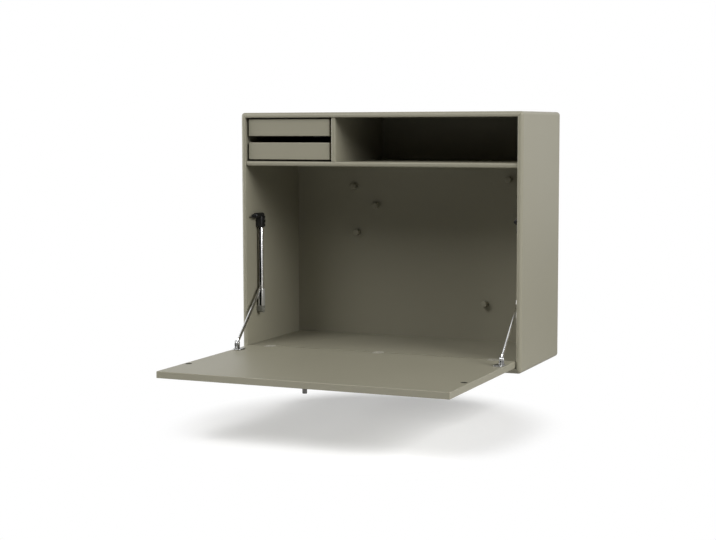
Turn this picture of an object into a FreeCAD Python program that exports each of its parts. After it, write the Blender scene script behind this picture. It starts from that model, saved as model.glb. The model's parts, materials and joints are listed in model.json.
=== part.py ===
"""Wall-mounted drop-flap desk: a mitred cabinet with two trays, a niche and a flap held by two stays.

Millimetres. X runs to the right, Y into the wall and Z up. The origin lies on the wall, midway between
the two fixing holes. The flap is drawn open, the trays closed.
"""
import FreeCAD
import Part
import Sketcher
import os

from FreeCAD import Rotation, Vector

# Driving sizes in millimetres
SIZES = {
    "Carcass": {
        "width": 696,
        "height": 582,
        "depth": 298,
        "board": 12,
        "corner_round": 8,
        "inner_round": 2.4,
        "back_thickness": 9,
        "sheet_thickness": 1,
        "shelf_thickness": 11,
        "shelf_set_back": 3,
        "shelf_round": 4,
        "row_height": 102,
        "bay_width": 221,
        "floor_thickness": 16,
        "overrun": 5,
    },
    "Joinery": {
        "spline_corner": 3.5,
        "spline_end": 30,
        "dowel_radius": 4,
        "dowel_length": 22,
        "dowel_sunk": 8,
        "dowel_inset": 60,
        "fit": 0.05,
        "screw_radius": 1.6,
        "screw_head_radius": 3.2,
        "screw_head": 1.8,
        "screw_sunk": 9,
    },
    "Wall fixing": {
        "fixing_drop": 42,
        "fixing_inset": 60,
        "fixing_radius": 4,
        "fixing_plate": 36,
        "fixing_plate_thickness": 2,
        "fixing_plate_round": 4,
    },
    "Desk flap": {
        "flap_thickness": 15,
        "flap_side_gap": 1.5,
        "flap_top_gap": 1.5,
        "flap_round": 1.5,
        "seam": 0.6,
        "axis_drop": 5,
        "knob_radius": 5,
        "knob_length": 16.5,
        "knob_round": 1.5,
        "knob_from_edge": 38,
        "stud_radius": 2,
        "stud_sunk": 9,
    },
    "Flap hinges": {
        "hinge_inset": 56,
        "leaf_width": 24,
        "leaf_reach": 16.5,
        "leaf_thickness": 2,
        "leaf_round": 9.5,
        "barrel_radius": 2.6,
        "barrel_gap": 0.3,
        "knuckle_width": 7.9,
        "hinge_pin_radius": 1.4,
        "leaf_screw_side": 5.5,
        "leaf_screw_reach": 10.8,
        "leaf_screw_length": 11,
    },
    "Flap stays": {
        "stay_inward": 10.3,
        "stay_back": 57,
        "stay_low": 90,
        "tube_radius": 5.5,
        "tube_wall": 1,
        "tube_slot": 3.6,
        "slot_end": 3,
        "sleeve_length": 41,
        "sleeve_wall": 1.5,
        "sleeve_slot": 4.6,
        "foot_height": 17,
        "foot_round": 2,
        "neck_forward": 8,
        "neck_back": 13,
        "neck_drop": 28,
        "neck_screw_back": 8.5,
        "neck_screw_rise": 8,
        "neck_screw_pitch": 11,
        "neck_round": 2.5,
        "socket": 8,
        "catch_reach": 314,
        "catch_inward": 14,
        "catch_gap": 0.3,
        "boss_inward": 9,
        "boss_radius": 6.5,
        "boss_tail": 11,
        "boss_round": 2,
        "magnet_radius": 3,
        "magnet_reach": 12,
        "magnet_depth": 6,
        "strike_radius": 7.5,
        "strike_thickness": 1.5,
    },
    "Stay arms": {
        "pivot_above": 137,
        "arm_thickness": 2.4,
        "arm_width": 7.6,
        "arm_tip_radius": 4,
        "arm_eye_radius": 5.5,
        "carriage_length": 18,
        "carriage_fit": 0.08,
        "carriage_gap": 0.3,
        "lug_reach": 80,
        "lug_height": 14.8,
        "lug_cheek": 2.4,
        "lug_play": 0.4,
        "lug_length": 12,
        "lug_pin_radius": 2,
        "lug_base_length": 34,
        "lug_base_width": 22,
        "lug_base_margin": 3,
        "lug_base_thickness": 2.5,
        "lug_base_round": 8,
        "lug_screw_pitch": 24,
        "lug_screw_length": 10,
    },
    "Trays": {
        "tray_side_gap": 5,
        "tray_set_back": 7.5,
        "tray_height": 40,
        "tray_lift": 4,
        "tray_drop": 3,
        "tray_front_thickness": 10,
        "tray_front_round": 2,
        "tray_side_thickness": 9,
        "tray_side_height": 34,
        "tray_rim_round": 1,
        "tray_back_thickness": 8,
        "tray_bottom_thickness": 4,
        "tray_bottom_lift": 3,
        "tray_back_gap": 14,
        "runner_height": 8,
        "runner_bite": 5,
        "runner_play": 0.3,
        "runner_rise": 14,
        "runner_front_gap": 1,
        "runner_back_gap": 22,
        "runner_screw_inset": 40,
    },
    "Memo magnets": {
        "memo_radius": 7.5,
        "memo_length": 15,
        "memo_round": 1.2,
    },
}

# Where the memo magnets stand, across and up the steel sheet
MEMO_SHARES = (
    (0.2336, 0.866),
    (0.3222, 0.7565),
    (0.247, 0.600),
    (0.749, 0.212),
    (0.8373, 0.9165),
    (0.872, 0.686),
)

# Where the floor board's screws stand, across the cabinet and along the board
FLOOR_SCREW_SHARES = ((0.15, 0.25), (0.5, 0.25), (0.85, 0.25), (0.15, 0.75), (0.5, 0.75), (0.85, 0.75))

SIDES = {"left": -1, "right": 1}
OUTWARD = {"left": "-x", "right": "x"}
HINGES = {"left": -1, "middle": 0, "right": 1}

# Tolerance for telling edges apart
TOUCH = 0.001

# Turns that point a cylinder's length along an axis
ALONG = {
    "x": Rotation(Vector(0, 1, 0), 90),
    "-x": Rotation(Vector(0, 1, 0), -90),
    "y": Rotation(Vector(1, 0, 0), -90),
    "-y": Rotation(Vector(1, 0, 0), 90),
    "z": Rotation(),
    "-z": Rotation(Vector(1, 0, 0), 180),
}

# Planes and lines that several pieces share, with Z from the cabinet's underside
INNER_X = "(Dims.width / 2 - Dims.board)"
INNER_WIDTH = "(Dims.width - 2 * Dims.board)"
FRONT_Y = "(-Dims.depth)"
BACK_Y = "(-Dims.back_thickness)"
SHELF_FRONT_Y = "(-Dims.depth + Dims.shelf_set_back)"
TOP_UNDER_Z = "(Dims.height - Dims.board)"
SHELF_TOP_Z = f"({TOP_UNDER_Z} - Dims.row_height)"
SHELF_UNDER_Z = f"({SHELF_TOP_Z} - Dims.shelf_thickness)"
FLOOR_TOP_Z = "(Dims.board + Dims.floor_thickness)"
FIXING_Z = "(Dims.height - Dims.fixing_drop)"
FIXING_X = f"({INNER_X} - Dims.fixing_inset)"
BAY_LEFT_X = f"(-{INNER_X})"
BAY_RIGHT_X = f"(-{INNER_X} + Dims.bay_width)"
DIVIDER_MID_X = f"({BAY_RIGHT_X} + Dims.shelf_thickness / 2)"

# The flap turns on an axis under its writing face, behind the groove that parts it from the floor board
FLAP_FACE_Y = "(-Dims.depth + Dims.flap_thickness)"
FLOOR_FRONT_Y = f"({FLAP_FACE_Y} + Dims.seam)"
AXIS_Y = f"({FLAP_FACE_Y} - Dims.axis_drop)"
AXIS_Z = f"({FLOOR_TOP_Z} - Dims.axis_drop)"
FLAP_WIDTH = f"({INNER_WIDTH} - 2 * Dims.flap_side_gap)"
FLAP_LENGTH = f"({SHELF_UNDER_Z} - Dims.flap_top_gap - {AXIS_Z} - Dims.seam / 2)"
FLAP_FRONT_Y = f"({AXIS_Y} - Dims.seam / 2 - {FLAP_LENGTH})"
FLAP_UNDER_Z = f"({FLOOR_TOP_Z} - Dims.flap_thickness)"
HINGE_X = f"({INNER_X} - Dims.hinge_inset)"
BARREL_CLEAR = "(Dims.barrel_radius + Dims.barrel_gap)"
LEAF_START = "(Dims.axis_drop + Dims.barrel_gap)"
MIDDLE_KNUCKLE = "(Dims.leaf_width - 2 * (Dims.knuckle_width + Dims.barrel_gap))"

# The stay's tube, its catch and the two pivots of its arm
TUBE_Y = "(-Dims.depth + Dims.stay_back)"
TUBE_LOW_Z = f"({FLOOR_TOP_Z} + Dims.stay_low)"
TUBE_BORE = "(Dims.tube_radius - Dims.tube_wall)"
CATCH_Z = f"({AXIS_Z} + Dims.catch_reach)"
NECK_LOW_Z = f"({CATCH_Z} - Dims.neck_drop)"
NECK_INWARD = "(Dims.stay_inward + Dims.tube_radius + Dims.tube_wall)"
UPPER_PIVOT_Z = f"({FLOOR_TOP_Z} + Dims.pivot_above)"
LOWER_PIVOT_Y = f"({AXIS_Y} - Dims.lug_reach)"
LOWER_PIVOT_Z = f"({FLOOR_TOP_Z} + Dims.lug_height)"
ARM_DEEP = f"({TUBE_Y} - {LOWER_PIVOT_Y})"
ARM_RISE = f"({UPPER_PIVOT_Z} - {LOWER_PIVOT_Z})"
ARM_LENGTH = f"sqrt({ARM_DEEP} * {ARM_DEEP} + {ARM_RISE} * {ARM_RISE})"
LUG_SLOT = "(Dims.arm_thickness + 2 * Dims.lug_play)"
LUG_WIDTH = f"({LUG_SLOT} + 2 * Dims.lug_cheek)"
LUG_BASE_NEAR = "(Dims.flap_side_gap + Dims.lug_base_margin)"
LUG_BASE_FAR = f"({LUG_BASE_NEAR} + Dims.lug_base_width)"
LUG_BASE_MIDDLE = f"({LUG_BASE_NEAR} + Dims.lug_base_width / 2)"

# The trays
TRAY_X = f"({BAY_LEFT_X} + Dims.tray_side_gap)"
TRAY_WIDTH = "(Dims.bay_width - 2 * Dims.tray_side_gap)"
TRAY_INSIDE = f"({TRAY_WIDTH} - 2 * Dims.tray_side_thickness)"
TRAY_FRONT_Y = "(-Dims.depth + Dims.tray_set_back)"
TRAY_BOX_Y = f"({TRAY_FRONT_Y} + Dims.tray_front_thickness)"
TRAY_BACK_Y = f"({BACK_Y} - Dims.tray_back_gap)"
TRAY_BOX_DEPTH = f"({TRAY_BACK_Y} - {TRAY_BOX_Y})"
TRAYS = {
    "upper": f"({TOP_UNDER_Z} - Dims.tray_drop - Dims.tray_height)",
    "lower": f"({SHELF_TOP_Z} + Dims.tray_lift)",
}
RUNNER_Y = f"({TRAY_BOX_Y} + Dims.runner_front_gap)"
RUNNER_LENGTH = f"({TRAY_BOX_DEPTH} - Dims.runner_front_gap - Dims.runner_back_gap)"
RUNNER_WIDTH = "(Dims.tray_side_gap + Dims.runner_bite - Dims.runner_play)"

doc = FreeCAD.newDocument("DropFlapDesk")
dims = doc.addObject("Spreadsheet::Sheet", "Dims")
pieces = {}


def fill_sheet():
    """Write every driving size into the sheet under its own name."""
    row = 1
    for section, sizes in SIZES.items():
        dims.set(f"A{row}", section)
        row += 1
        for name, size in sizes.items():
            dims.set(f"A{row}", name)
            dims.set(f"B{row}", str(size))
            dims.setAlias(f"B{row}", name)
            row += 1
    doc.recompute()


def keep(name, item):
    """Name a finished piece and list it for writing."""
    item.Label = name
    pieces[name] = item
    return item


def offset(item, x="0", y="0", z="0", turn=Rotation()):
    """Place an item by expressions, in the frame of what it is part of."""
    item.Placement = FreeCAD.Placement(Vector(), turn)
    for axis, expression in zip("xyz", (x, y, z)):
        item.setExpression(f"Placement.Base.{axis}", expression)
    return item


def place(item, x="0", y="0", z="0", turn=Rotation()):
    """Place an item at x from the middle, y from the wall and z above the cabinet's underside."""
    return offset(item, x, y, f"{z} - {FIXING_Z}", turn)


def bind(item, **sizes):
    """Tie an item's sizes to expressions."""
    for name, expression in sizes.items():
        item.setExpression(name, expression)
    return item


def block(name, x, y, z):
    """A plain block from (start, size) pairs."""
    item = bind(doc.addObject("Part::Box", name), Length=x[1], Width=y[1], Height=z[1])
    return place(item, x[0], y[0], z[0])


def around(middle, size):
    """The (start, size) pair of a size centred on a middle."""
    return f"({middle} - {size} / 2)", size


def cylinder(name, radius, length, axis, x, y, z):
    """A plain cylinder that starts at a point and runs along an axis."""
    item = bind(doc.addObject("Part::Cylinder", name), Radius=radius, Height=length)
    return place(item, x, y, z, ALONG[axis])


def group(name, items):
    """Several separate solids as one item."""
    item = doc.addObject("Part::Compound", name)
    item.Links = list(items)
    return item


def fuse(name, *items):
    """Items joined into one solid."""
    item = doc.addObject("Part::MultiFuse", name)
    item.Shapes = list(items)
    return item


def cut(name, base, *tools):
    """A base with tools cut out of it."""
    item = doc.addObject("Part::Cut", name)
    item.Base = base
    item.Tool = tools[0] if len(tools) == 1 else group(f"{name}_tools", tools)
    return item


def new_sketch(body, name):
    """A sketch on the body's own XY plane."""
    plane = next(f for f in body.Origin.OriginFeatures if f.Role == "XY_Plane")
    sketch = body.newObject("Sketcher::SketchObject", name)
    sketch.AttachmentSupport = [(plane, "")]
    sketch.MapMode = "FlatFace"
    return sketch


def constrain(sketch, name, expression, *rule):
    """Add a named constraint tied to an expression."""
    index = sketch.addConstraint(Sketcher.Constraint(*rule, float(dims.evalExpression(expression))))
    sketch.renameConstraint(index, name)
    sketch.setExpression(f"Constraints.{name}", expression)


def draw_rectangle(sketch, across, along, inset=None):
    """A rectangle with a corner on the sketch's origin, or set in from it both ways."""
    low = float(dims.evalExpression(inset)) if inset else 0
    right = low + float(dims.evalExpression(across))
    top = low + float(dims.evalExpression(along))
    corners = [Vector(low, low), Vector(right, low), Vector(right, top), Vector(low, top)]
    first = sketch.GeometryCount
    lines = range(first, first + len(corners))
    for start, end in zip(corners, corners[1:] + corners[:1]):
        sketch.addGeometry(Part.LineSegment(start, end), False)
    for line, following in zip(lines, [*lines[1:], first]):
        sketch.addConstraint(Sketcher.Constraint("Coincident", line, 2, following, 1))
    for number, line in enumerate(lines):
        sketch.addConstraint(Sketcher.Constraint("Vertical" if number % 2 else "Horizontal", line))
    if inset:
        constrain(sketch, f"inset_x{first}", inset, "DistanceX", -1, 1, first, 1)
        constrain(sketch, f"inset_y{first}", inset, "DistanceY", -1, 1, first, 1)
    else:
        sketch.addConstraint(Sketcher.Constraint("Coincident", first, 1, -1, 1))
    constrain(sketch, f"across{first}", across, "DistanceX", first, 1, first, 2)
    constrain(sketch, f"along{first}", along, "DistanceY", first + 1, 1, first + 1, 2)


def pad(body, sketch, length):
    """Extrude a sketch upwards in its body."""
    feature = body.newObject("PartDesign::Pad", f"{body.Name}_pad")
    feature.Profile = sketch
    feature.setExpression("Length", length)
    doc.recompute()
    return feature


def round_edges(body, radius, chosen):
    """Round the edges of a body that a test on their box and the body's box chooses."""
    base = body.Tip
    whole = base.Shape.BoundBox
    names = [f"Edge{n}" for n, edge in enumerate(base.Shape.Edges, 1) if chosen(edge.BoundBox, whole)]
    feature = body.newObject("PartDesign::Fillet", f"{body.Name}_round")
    feature.Base = (base, names)
    feature.setExpression("Radius", radius)
    doc.recompute()


def every_edge(edge, whole):
    return True


def front_edges(edge, whole):
    return edge.YMax < whole.YMin + TOUCH


def front_long_edges(edge, whole):
    return front_edges(edge, whole) and edge.ZLength < TOUCH


def front_upright_edges(edge, whole):
    return front_edges(edge, whole) and edge.XLength < TOUCH


def back_upright_edges(edge, whole):
    return edge.YMin > whole.YMax - TOUCH and edge.XLength < TOUCH


def upright_edges(edge, whole):
    return edge.ZLength > whole.ZLength - TOUCH


def top_edges(edge, whole):
    return edge.ZMin > whole.ZMax - TOUCH


def top_deep_edges(edge, whole):
    return top_edges(edge, whole) and edge.XLength < TOUCH


def top_wide_edges(edge, whole):
    return top_edges(edge, whole) and edge.YLength < TOUCH


def end_edges(edge, whole):
    return edge.ZLength < TOUCH


def board(name, x, y, z, radius=None, chosen=every_edge):
    """A padded board from (start, size) pairs, with some edges rounded."""
    body = doc.addObject("PartDesign::Body", name)
    sketch = new_sketch(body, f"{name}_outline")
    draw_rectangle(sketch, x[1], y[1])
    pad(body, sketch, z[1])
    if radius:
        round_edges(body, radius, chosen)
    return place(body, x[0], y[0], z[0])


def rod(name, radius, length, axis, x, y, z, rounding, chosen=end_edges):
    """A padded round rod from a point along an axis, with its ends rounded."""
    body = doc.addObject("PartDesign::Body", name)
    sketch = new_sketch(body, f"{name}_outline")
    circle = sketch.addGeometry(Part.Circle(Vector(), Vector(0, 0, 1), float(dims.evalExpression(radius))))
    sketch.addConstraint(Sketcher.Constraint("Coincident", circle, 3, -1, 1))
    constrain(sketch, "radius", radius, "Radius", circle)
    pad(body, sketch, length)
    round_edges(body, rounding, chosen)
    return place(body, x, y, z, ALONG[axis])


def screw(name, axis, x, y, z, length, grow="0"):
    """A countersunk screw with its head flush at a point, or its hole when it is grown."""
    head = bind(
        doc.addObject("Part::Cone", f"{name}_head"),
        Radius1=f"Dims.screw_head_radius + {grow}",
        Radius2=f"Dims.screw_radius + {grow}",
        Height="Dims.screw_head",
    )
    place(head, x, y, z, ALONG[axis])
    shank = cylinder(f"{name}_shank", f"Dims.screw_radius + {grow}", f"{length} + {grow}", axis, x, y, z)
    return fuse(name, head, shank)


def screws(name, points, length):
    """A row of screws as one piece, and the holes that take them. A point is an axis and a place."""
    made = [screw(f"{name}_{n}", *point, length) for n, point in enumerate(points)]
    holes = [screw(f"{name}_hole_{n}", *point, length, "Dims.fit") for n, point in enumerate(points)]
    keep(name, group(name, made))
    return holes


def dowels(name, axis, points):
    """A row of dowels as one piece, and the holes that take them."""
    size = ("Dims.dowel_radius", "Dims.dowel_length", axis)
    hole = ("Dims.dowel_radius + Dims.fit", "Dims.dowel_length", axis)
    made = [cylinder(f"{name}_{n}", *size, *point) for n, point in enumerate(points)]
    holes = [cylinder(f"{name}_hole_{n}", *hole, *point) for n, point in enumerate(points)]
    keep(name, group(name, made))
    return holes


def side_x(sign, inward):
    """The x of a point that lies inward of the left or right panel's inner face."""
    return f"({sign} * ({INNER_X} - {inward}))"


def side_span(sign, near, far):
    """The (start, size) pair along x between two distances inward of a side panel."""
    start = f"(-{INNER_X} + {near})" if sign < 0 else f"({INNER_X} - {far})"
    return start, f"({far} - {near})"


def carcass_ring():
    """The four outer panels as one ring, rounded on its outside and softened on its front mouth."""
    body = doc.addObject("PartDesign::Body", "carcass_ring")
    sketch = new_sketch(body, "carcass_ring_outline")
    draw_rectangle(sketch, "Dims.width", "Dims.height")
    draw_rectangle(sketch, INNER_WIDTH, "(Dims.height - 2 * Dims.board)", "Dims.board")
    pad(body, sketch, "Dims.depth")

    def outside(edge, whole):
        reaches_x = edge.XMin < whole.XMin + TOUCH or edge.XMax > whole.XMax - TOUCH
        reaches_y = edge.YMin < whole.YMin + TOUCH or edge.YMax > whole.YMax - TOUCH
        return reaches_x or reaches_y

    def front_mouth(edge, whole):
        inside_x = edge.XMin > whole.XMin + TOUCH and edge.XMax < whole.XMax - TOUCH
        flat = edge.ZMin > whole.ZMax - TOUCH
        board = float(dims.evalExpression("Dims.board"))
        return inside_x and flat and edge.YMin > board - TOUCH and edge.YMax < whole.YMax - board + TOUCH

    round_edges(body, "Dims.corner_round", outside)
    round_edges(body, "Dims.inner_round", front_mouth)
    return place(body, "-Dims.width / 2", "0", "0", ALONG["-y"])


def mitre_wedge(name, span, turn, x, z):
    """The space of one panel between its two mitres, grown past the panel all round."""
    over = "Dims.overrun"
    wedge = bind(
        doc.addObject("Part::Wedge", name),
        Xmin=f"-{over}",
        Xmax=f"{span} + {over}",
        Ymin=f"-{over}",
        Ymax=f"Dims.board + {over}",
        Zmin=f"-{over}",
        Zmax=f"Dims.depth + {over}",
        X2min=f"Dims.board + {over}",
        X2max=f"{span} - Dims.board - {over}",
        Z2min=f"-{over}",
        Z2max=f"Dims.depth + {over}",
    )
    return place(wedge, x, "0", z, ALONG["-y"] * Rotation(Vector(0, 0, 1), turn))


def mitre_splines():
    """A square spline along each mitred corner, with its sides along and across the mitre."""
    made = []
    for side, sign in SIDES.items():
        for level, z in (("low", "Dims.board / 2"), ("high", "(Dims.height - Dims.board / 2)")):
            spline = bind(
                doc.addObject("Part::Prism", f"{side}_{level}_spline"),
                Circumradius="Dims.spline_corner",
                Height="(Dims.depth - 2 * Dims.spline_end)",
            )
            spline.Polygon = 4
            x = f"({sign} * (Dims.width / 2 - Dims.board / 2))"
            made.append(place(spline, x, "-Dims.spline_end", z, ALONG["-y"]))
    return keep("mitre_splines", group("mitre_splines", made))


def carcass(top_holes, side_holes, bottom_holes):
    """Four mitred panels cut from the ring, each with its joinery holes."""
    ring = carcass_ring()
    splines = mitre_splines()
    low_z, high_z = "0", "Dims.height"
    left_x, right_x = "-Dims.width / 2", "Dims.width / 2"
    panels = {
        "bottom_panel": ("Dims.width", 0, left_x, low_z, bottom_holes),
        "right_side_panel": ("Dims.height", 90, right_x, low_z, side_holes),
        "top_panel": ("Dims.width", 180, right_x, high_z, top_holes),
        "left_side_panel": ("Dims.height", 270, left_x, high_z, side_holes),
    }
    for name, (span, turn, x, z, holes) in panels.items():
        blank = doc.addObject("Part::Common", f"{name}_blank")
        blank.Base = ring
        blank.Tool = mitre_wedge(f"{name}_mitres", span, turn, x, z)
        keep(name, cut(name, blank, splines, *holes))


def back_and_fixings():
    """The back panel with its two fixing holes and plates, and the steel sheet that magnets hold to."""
    across = around("0", INNER_WIDTH)
    back_z = ("Dims.board", f"({TOP_UNDER_Z} - Dims.board)")
    blank = board("back_blank", across, (BACK_Y, "Dims.back_thickness"), back_z)
    plates = []
    holes = []
    plate_y = f"({BACK_Y} - Dims.fixing_plate_thickness)"
    for side, sign in SIDES.items():
        x = f"({sign} * {FIXING_X})"
        bore_length = "(Dims.back_thickness + Dims.fixing_plate_thickness + 2 * Dims.overrun)"
        bore_start = f"({plate_y} - Dims.overrun)"
        bore = ("Dims.fixing_radius", bore_length, "y", x, bore_start, FIXING_Z)
        holes.append(cylinder(f"{side}_fixing_bore", *bore))
        plate = board(
            f"{side}_fixing_plate",
            around(x, "Dims.fixing_plate"),
            (plate_y, "Dims.fixing_plate_thickness"),
            around(FIXING_Z, "Dims.fixing_plate"),
            "Dims.fixing_plate_round",
            lambda edge, whole: edge.YLength > whole.YLength - TOUCH,
        )
        plates.append(cut(f"{side}_fixing_plate_bored", plate, holes[-1]))
    keep("back_panel", cut("back_panel", blank, *holes))
    keep("wall_fixing_plates", group("wall_fixing_plates", plates))
    sheet_y = (f"({BACK_Y} - Dims.sheet_thickness)", "Dims.sheet_thickness")
    sheet_height = f"({SHELF_UNDER_Z} - {FLOOR_TOP_Z})"
    keep("magnetic_back_sheet", block("magnetic_back_sheet", across, sheet_y, (FLOOR_TOP_Z, sheet_height)))
    magnets = []
    for number, (x_share, z_share) in enumerate(MEMO_SHARES):
        x = f"({BAY_LEFT_X} + {x_share} * {INNER_WIDTH})"
        z = f"({FLOOR_TOP_Z} + {z_share} * {sheet_height})"
        size = ("Dims.memo_radius", "Dims.memo_length", "-y", x, sheet_y[0], z)
        magnets.append(rod(f"memo_magnet_{number}", *size, "Dims.memo_round", top_edges))
    keep("memo_magnets", group("memo_magnets", magnets))


def shelf_and_divider(runner_holes):
    """The shelf and the tray divider on dowels. Returns the holes that reach the side and top panels."""
    middle_z = f"({SHELF_UNDER_Z} + Dims.shelf_thickness / 2)"
    front_row = f"({FRONT_Y} + Dims.dowel_inset)"
    back_row = f"({BACK_Y} - Dims.dowel_inset)"
    rows = (front_row, f"({FRONT_Y} + Dims.depth / 2)", back_row)
    left_start = f"(-{INNER_X} - Dims.dowel_sunk)"
    right_start = f"({INNER_X} + Dims.dowel_sunk - Dims.dowel_length)"
    shelf_points = [(x, y, middle_z) for x in (left_start, right_start) for y in rows]
    shelf_holes = dowels("shelf_dowels", "x", shelf_points)
    low_start = f"({SHELF_TOP_Z} - Dims.dowel_sunk)"
    high_start = f"({TOP_UNDER_Z} + Dims.dowel_sunk - Dims.dowel_length)"
    divider_points = [(DIVIDER_MID_X, y, z) for z in (low_start, high_start) for y in (front_row, back_row)]
    divider_holes = dowels("divider_dowels", "z", divider_points)
    along = (SHELF_FRONT_Y, f"({BACK_Y} - {SHELF_FRONT_Y})")
    thick = "Dims.shelf_thickness"
    soften = "Dims.shelf_round"
    shelf_size = (around("0", INNER_WIDTH), along, (SHELF_UNDER_Z, thick))
    shelf = board("shelf_blank", *shelf_size, soften, front_long_edges)
    keep("shelf", cut("shelf", shelf, *shelf_holes, *divider_holes))
    divider_size = ((BAY_RIGHT_X, thick), along, (SHELF_TOP_Z, "Dims.row_height"))
    divider = board("divider_blank", *divider_size, soften, front_upright_edges)
    keep("tray_divider", cut("tray_divider", divider, *divider_holes, *runner_holes))
    return shelf_holes, divider_holes


def hinge_leaf(name, x, on_flap, holes):
    """A round-ended hinge leaf with lugs down to the pin. Returns the parts of it let into a board."""
    plate_reach = f"(Dims.leaf_reach - {LEAF_START})"
    start = f"({AXIS_Y} - Dims.leaf_reach)" if on_flap else f"({AXIS_Y} + {LEAF_START})"
    far_edges = front_upright_edges if on_flap else back_upright_edges
    level = (f"({FLOOR_TOP_Z} - Dims.leaf_thickness)", "Dims.leaf_thickness")
    plate_size = (around(x, "Dims.leaf_width"), (start, plate_reach), level)
    sunk = [board(f"{name}_plate", *plate_size, "Dims.leaf_round", far_edges)]
    ends = (f"({x} - Dims.leaf_width / 2)", f"({x} + Dims.leaf_width / 2 - Dims.knuckle_width)")
    spans = [around(x, MIDDLE_KNUCKLE)] if on_flap else [(end, "Dims.knuckle_width") for end in ends]
    lug_y = f"({AXIS_Y} - {LEAF_START})" if on_flap else AXIS_Y
    knuckles = []
    for number, span in enumerate(spans):
        sunk.append(block(f"{name}_lug_{number}", span, (lug_y, LEAF_START), (AXIS_Z, "Dims.axis_drop")))
        knuckle = ("Dims.barrel_radius", span[1], "x", span[0], AXIS_Y, AXIS_Z)
        knuckles.append(cylinder(f"{name}_knuckle_{number}", *knuckle))
    pin_hole = cylinder(
        f"{name}_pin_hole",
        "Dims.hinge_pin_radius + Dims.fit",
        "(Dims.leaf_width + 2 * Dims.overrun)",
        "x",
        f"({x} - Dims.leaf_width / 2 - Dims.overrun)",
        AXIS_Y,
        AXIS_Z,
    )
    keep(name, cut(name, fuse(f"{name}_blank", *sunk, *knuckles), pin_hole, *holes))
    return sunk


def leaf_screw_points(on_flap):
    """Two screw places on each of the three leaves of one board."""
    points = []
    for sign in HINGES.values():
        for side in SIDES.values():
            x = f"({sign} * {HINGE_X} + {side} * Dims.leaf_screw_side)"
            y = f"({AXIS_Y} {'-' if on_flap else '+'} Dims.leaf_screw_reach)"
            points.append(("-z", x, y, FLOOR_TOP_Z))
    return points


def hinges():
    """Three flap hinges. Returns what they cut out of the floor board and out of the flap."""
    floor_cuts = screws("hinge_floor_screws", leaf_screw_points(False), "Dims.leaf_screw_length")
    flap_cuts = screws("hinge_flap_screws", leaf_screw_points(True), "Dims.leaf_screw_length")
    floor_holes, flap_holes = tuple(floor_cuts), tuple(flap_cuts)
    pins = []
    for number, (where, sign) in enumerate(HINGES.items()):
        x = f"({sign} * {HINGE_X})"
        pair = slice(2 * number, 2 * number + 2)
        floor_cuts += hinge_leaf(f"{where}_hinge_floor_leaf", x, False, floor_holes[pair])
        flap_cuts += hinge_leaf(f"{where}_hinge_flap_leaf", x, True, flap_holes[pair])
        pin_x = f"({x} - Dims.leaf_width / 2)"
        pin_size = ("Dims.hinge_pin_radius", "Dims.leaf_width", "x", pin_x, AXIS_Y, AXIS_Z)
        pins.append(cylinder(f"{where}_hinge_pin", *pin_size))
        room_x = (f"({pin_x} - Dims.barrel_gap)", "(Dims.leaf_width + 2 * Dims.barrel_gap)")
        barrel = (BARREL_CLEAR, room_x[1], "x", room_x[0], AXIS_Y, AXIS_Z)
        flap_cuts.append(cylinder(f"{where}_barrel_room", *barrel))
        notch_y = (f"({AXIS_Y} - {LEAF_START})", LEAF_START)
        notch_z = (AXIS_Z, "(Dims.axis_drop + Dims.overrun)")
        flap_cuts.append(block(f"{where}_lug_room", room_x, notch_y, notch_z))
    keep("hinge_pins", group("hinge_pins", pins))
    return floor_cuts, flap_cuts


def floor_board(cuts):
    """The board under the desk's inside, level with the open flap. Returns its screws' holes."""
    length = f"({BACK_Y} - {FLOOR_FRONT_Y})"
    points = []
    for x_share, y_share in FLOOR_SCREW_SHARES:
        x = f"(-{INNER_X} + {x_share} * {INNER_WIDTH})"
        points.append(("z", x, f"({FLOOR_FRONT_Y} + {y_share} * {length})", "0"))
    holes = screws("floor_board_screws", points, "(Dims.board + Dims.screw_sunk)")
    size = (around("0", INNER_WIDTH), (FLOOR_FRONT_Y, length), ("Dims.board", "Dims.floor_thickness"))
    blank = board("floor_blank", *size)
    keep("desk_floor_board", cut("desk_floor_board", blank, *cuts, *holes))
    return holes


def stay_screw_points():
    """Two screws through each stay head and one through each foot, left side first."""
    points = []
    for side, sign in SIDES.items():
        axis = OUTWARD[side]
        head_x = side_x(sign, NECK_INWARD)
        back_y = f"({TUBE_Y} + Dims.neck_screw_back)"
        low_z = f"({NECK_LOW_Z} + Dims.neck_screw_rise)"
        high_z = f"({low_z} + Dims.neck_screw_pitch)"
        foot_z = f"({TUBE_LOW_Z} - Dims.foot_height / 2)"
        for y, z in ((back_y, low_z), (back_y, high_z), (TUBE_Y, foot_z)):
            points.append((axis, head_x, y, z))
    return points


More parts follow.
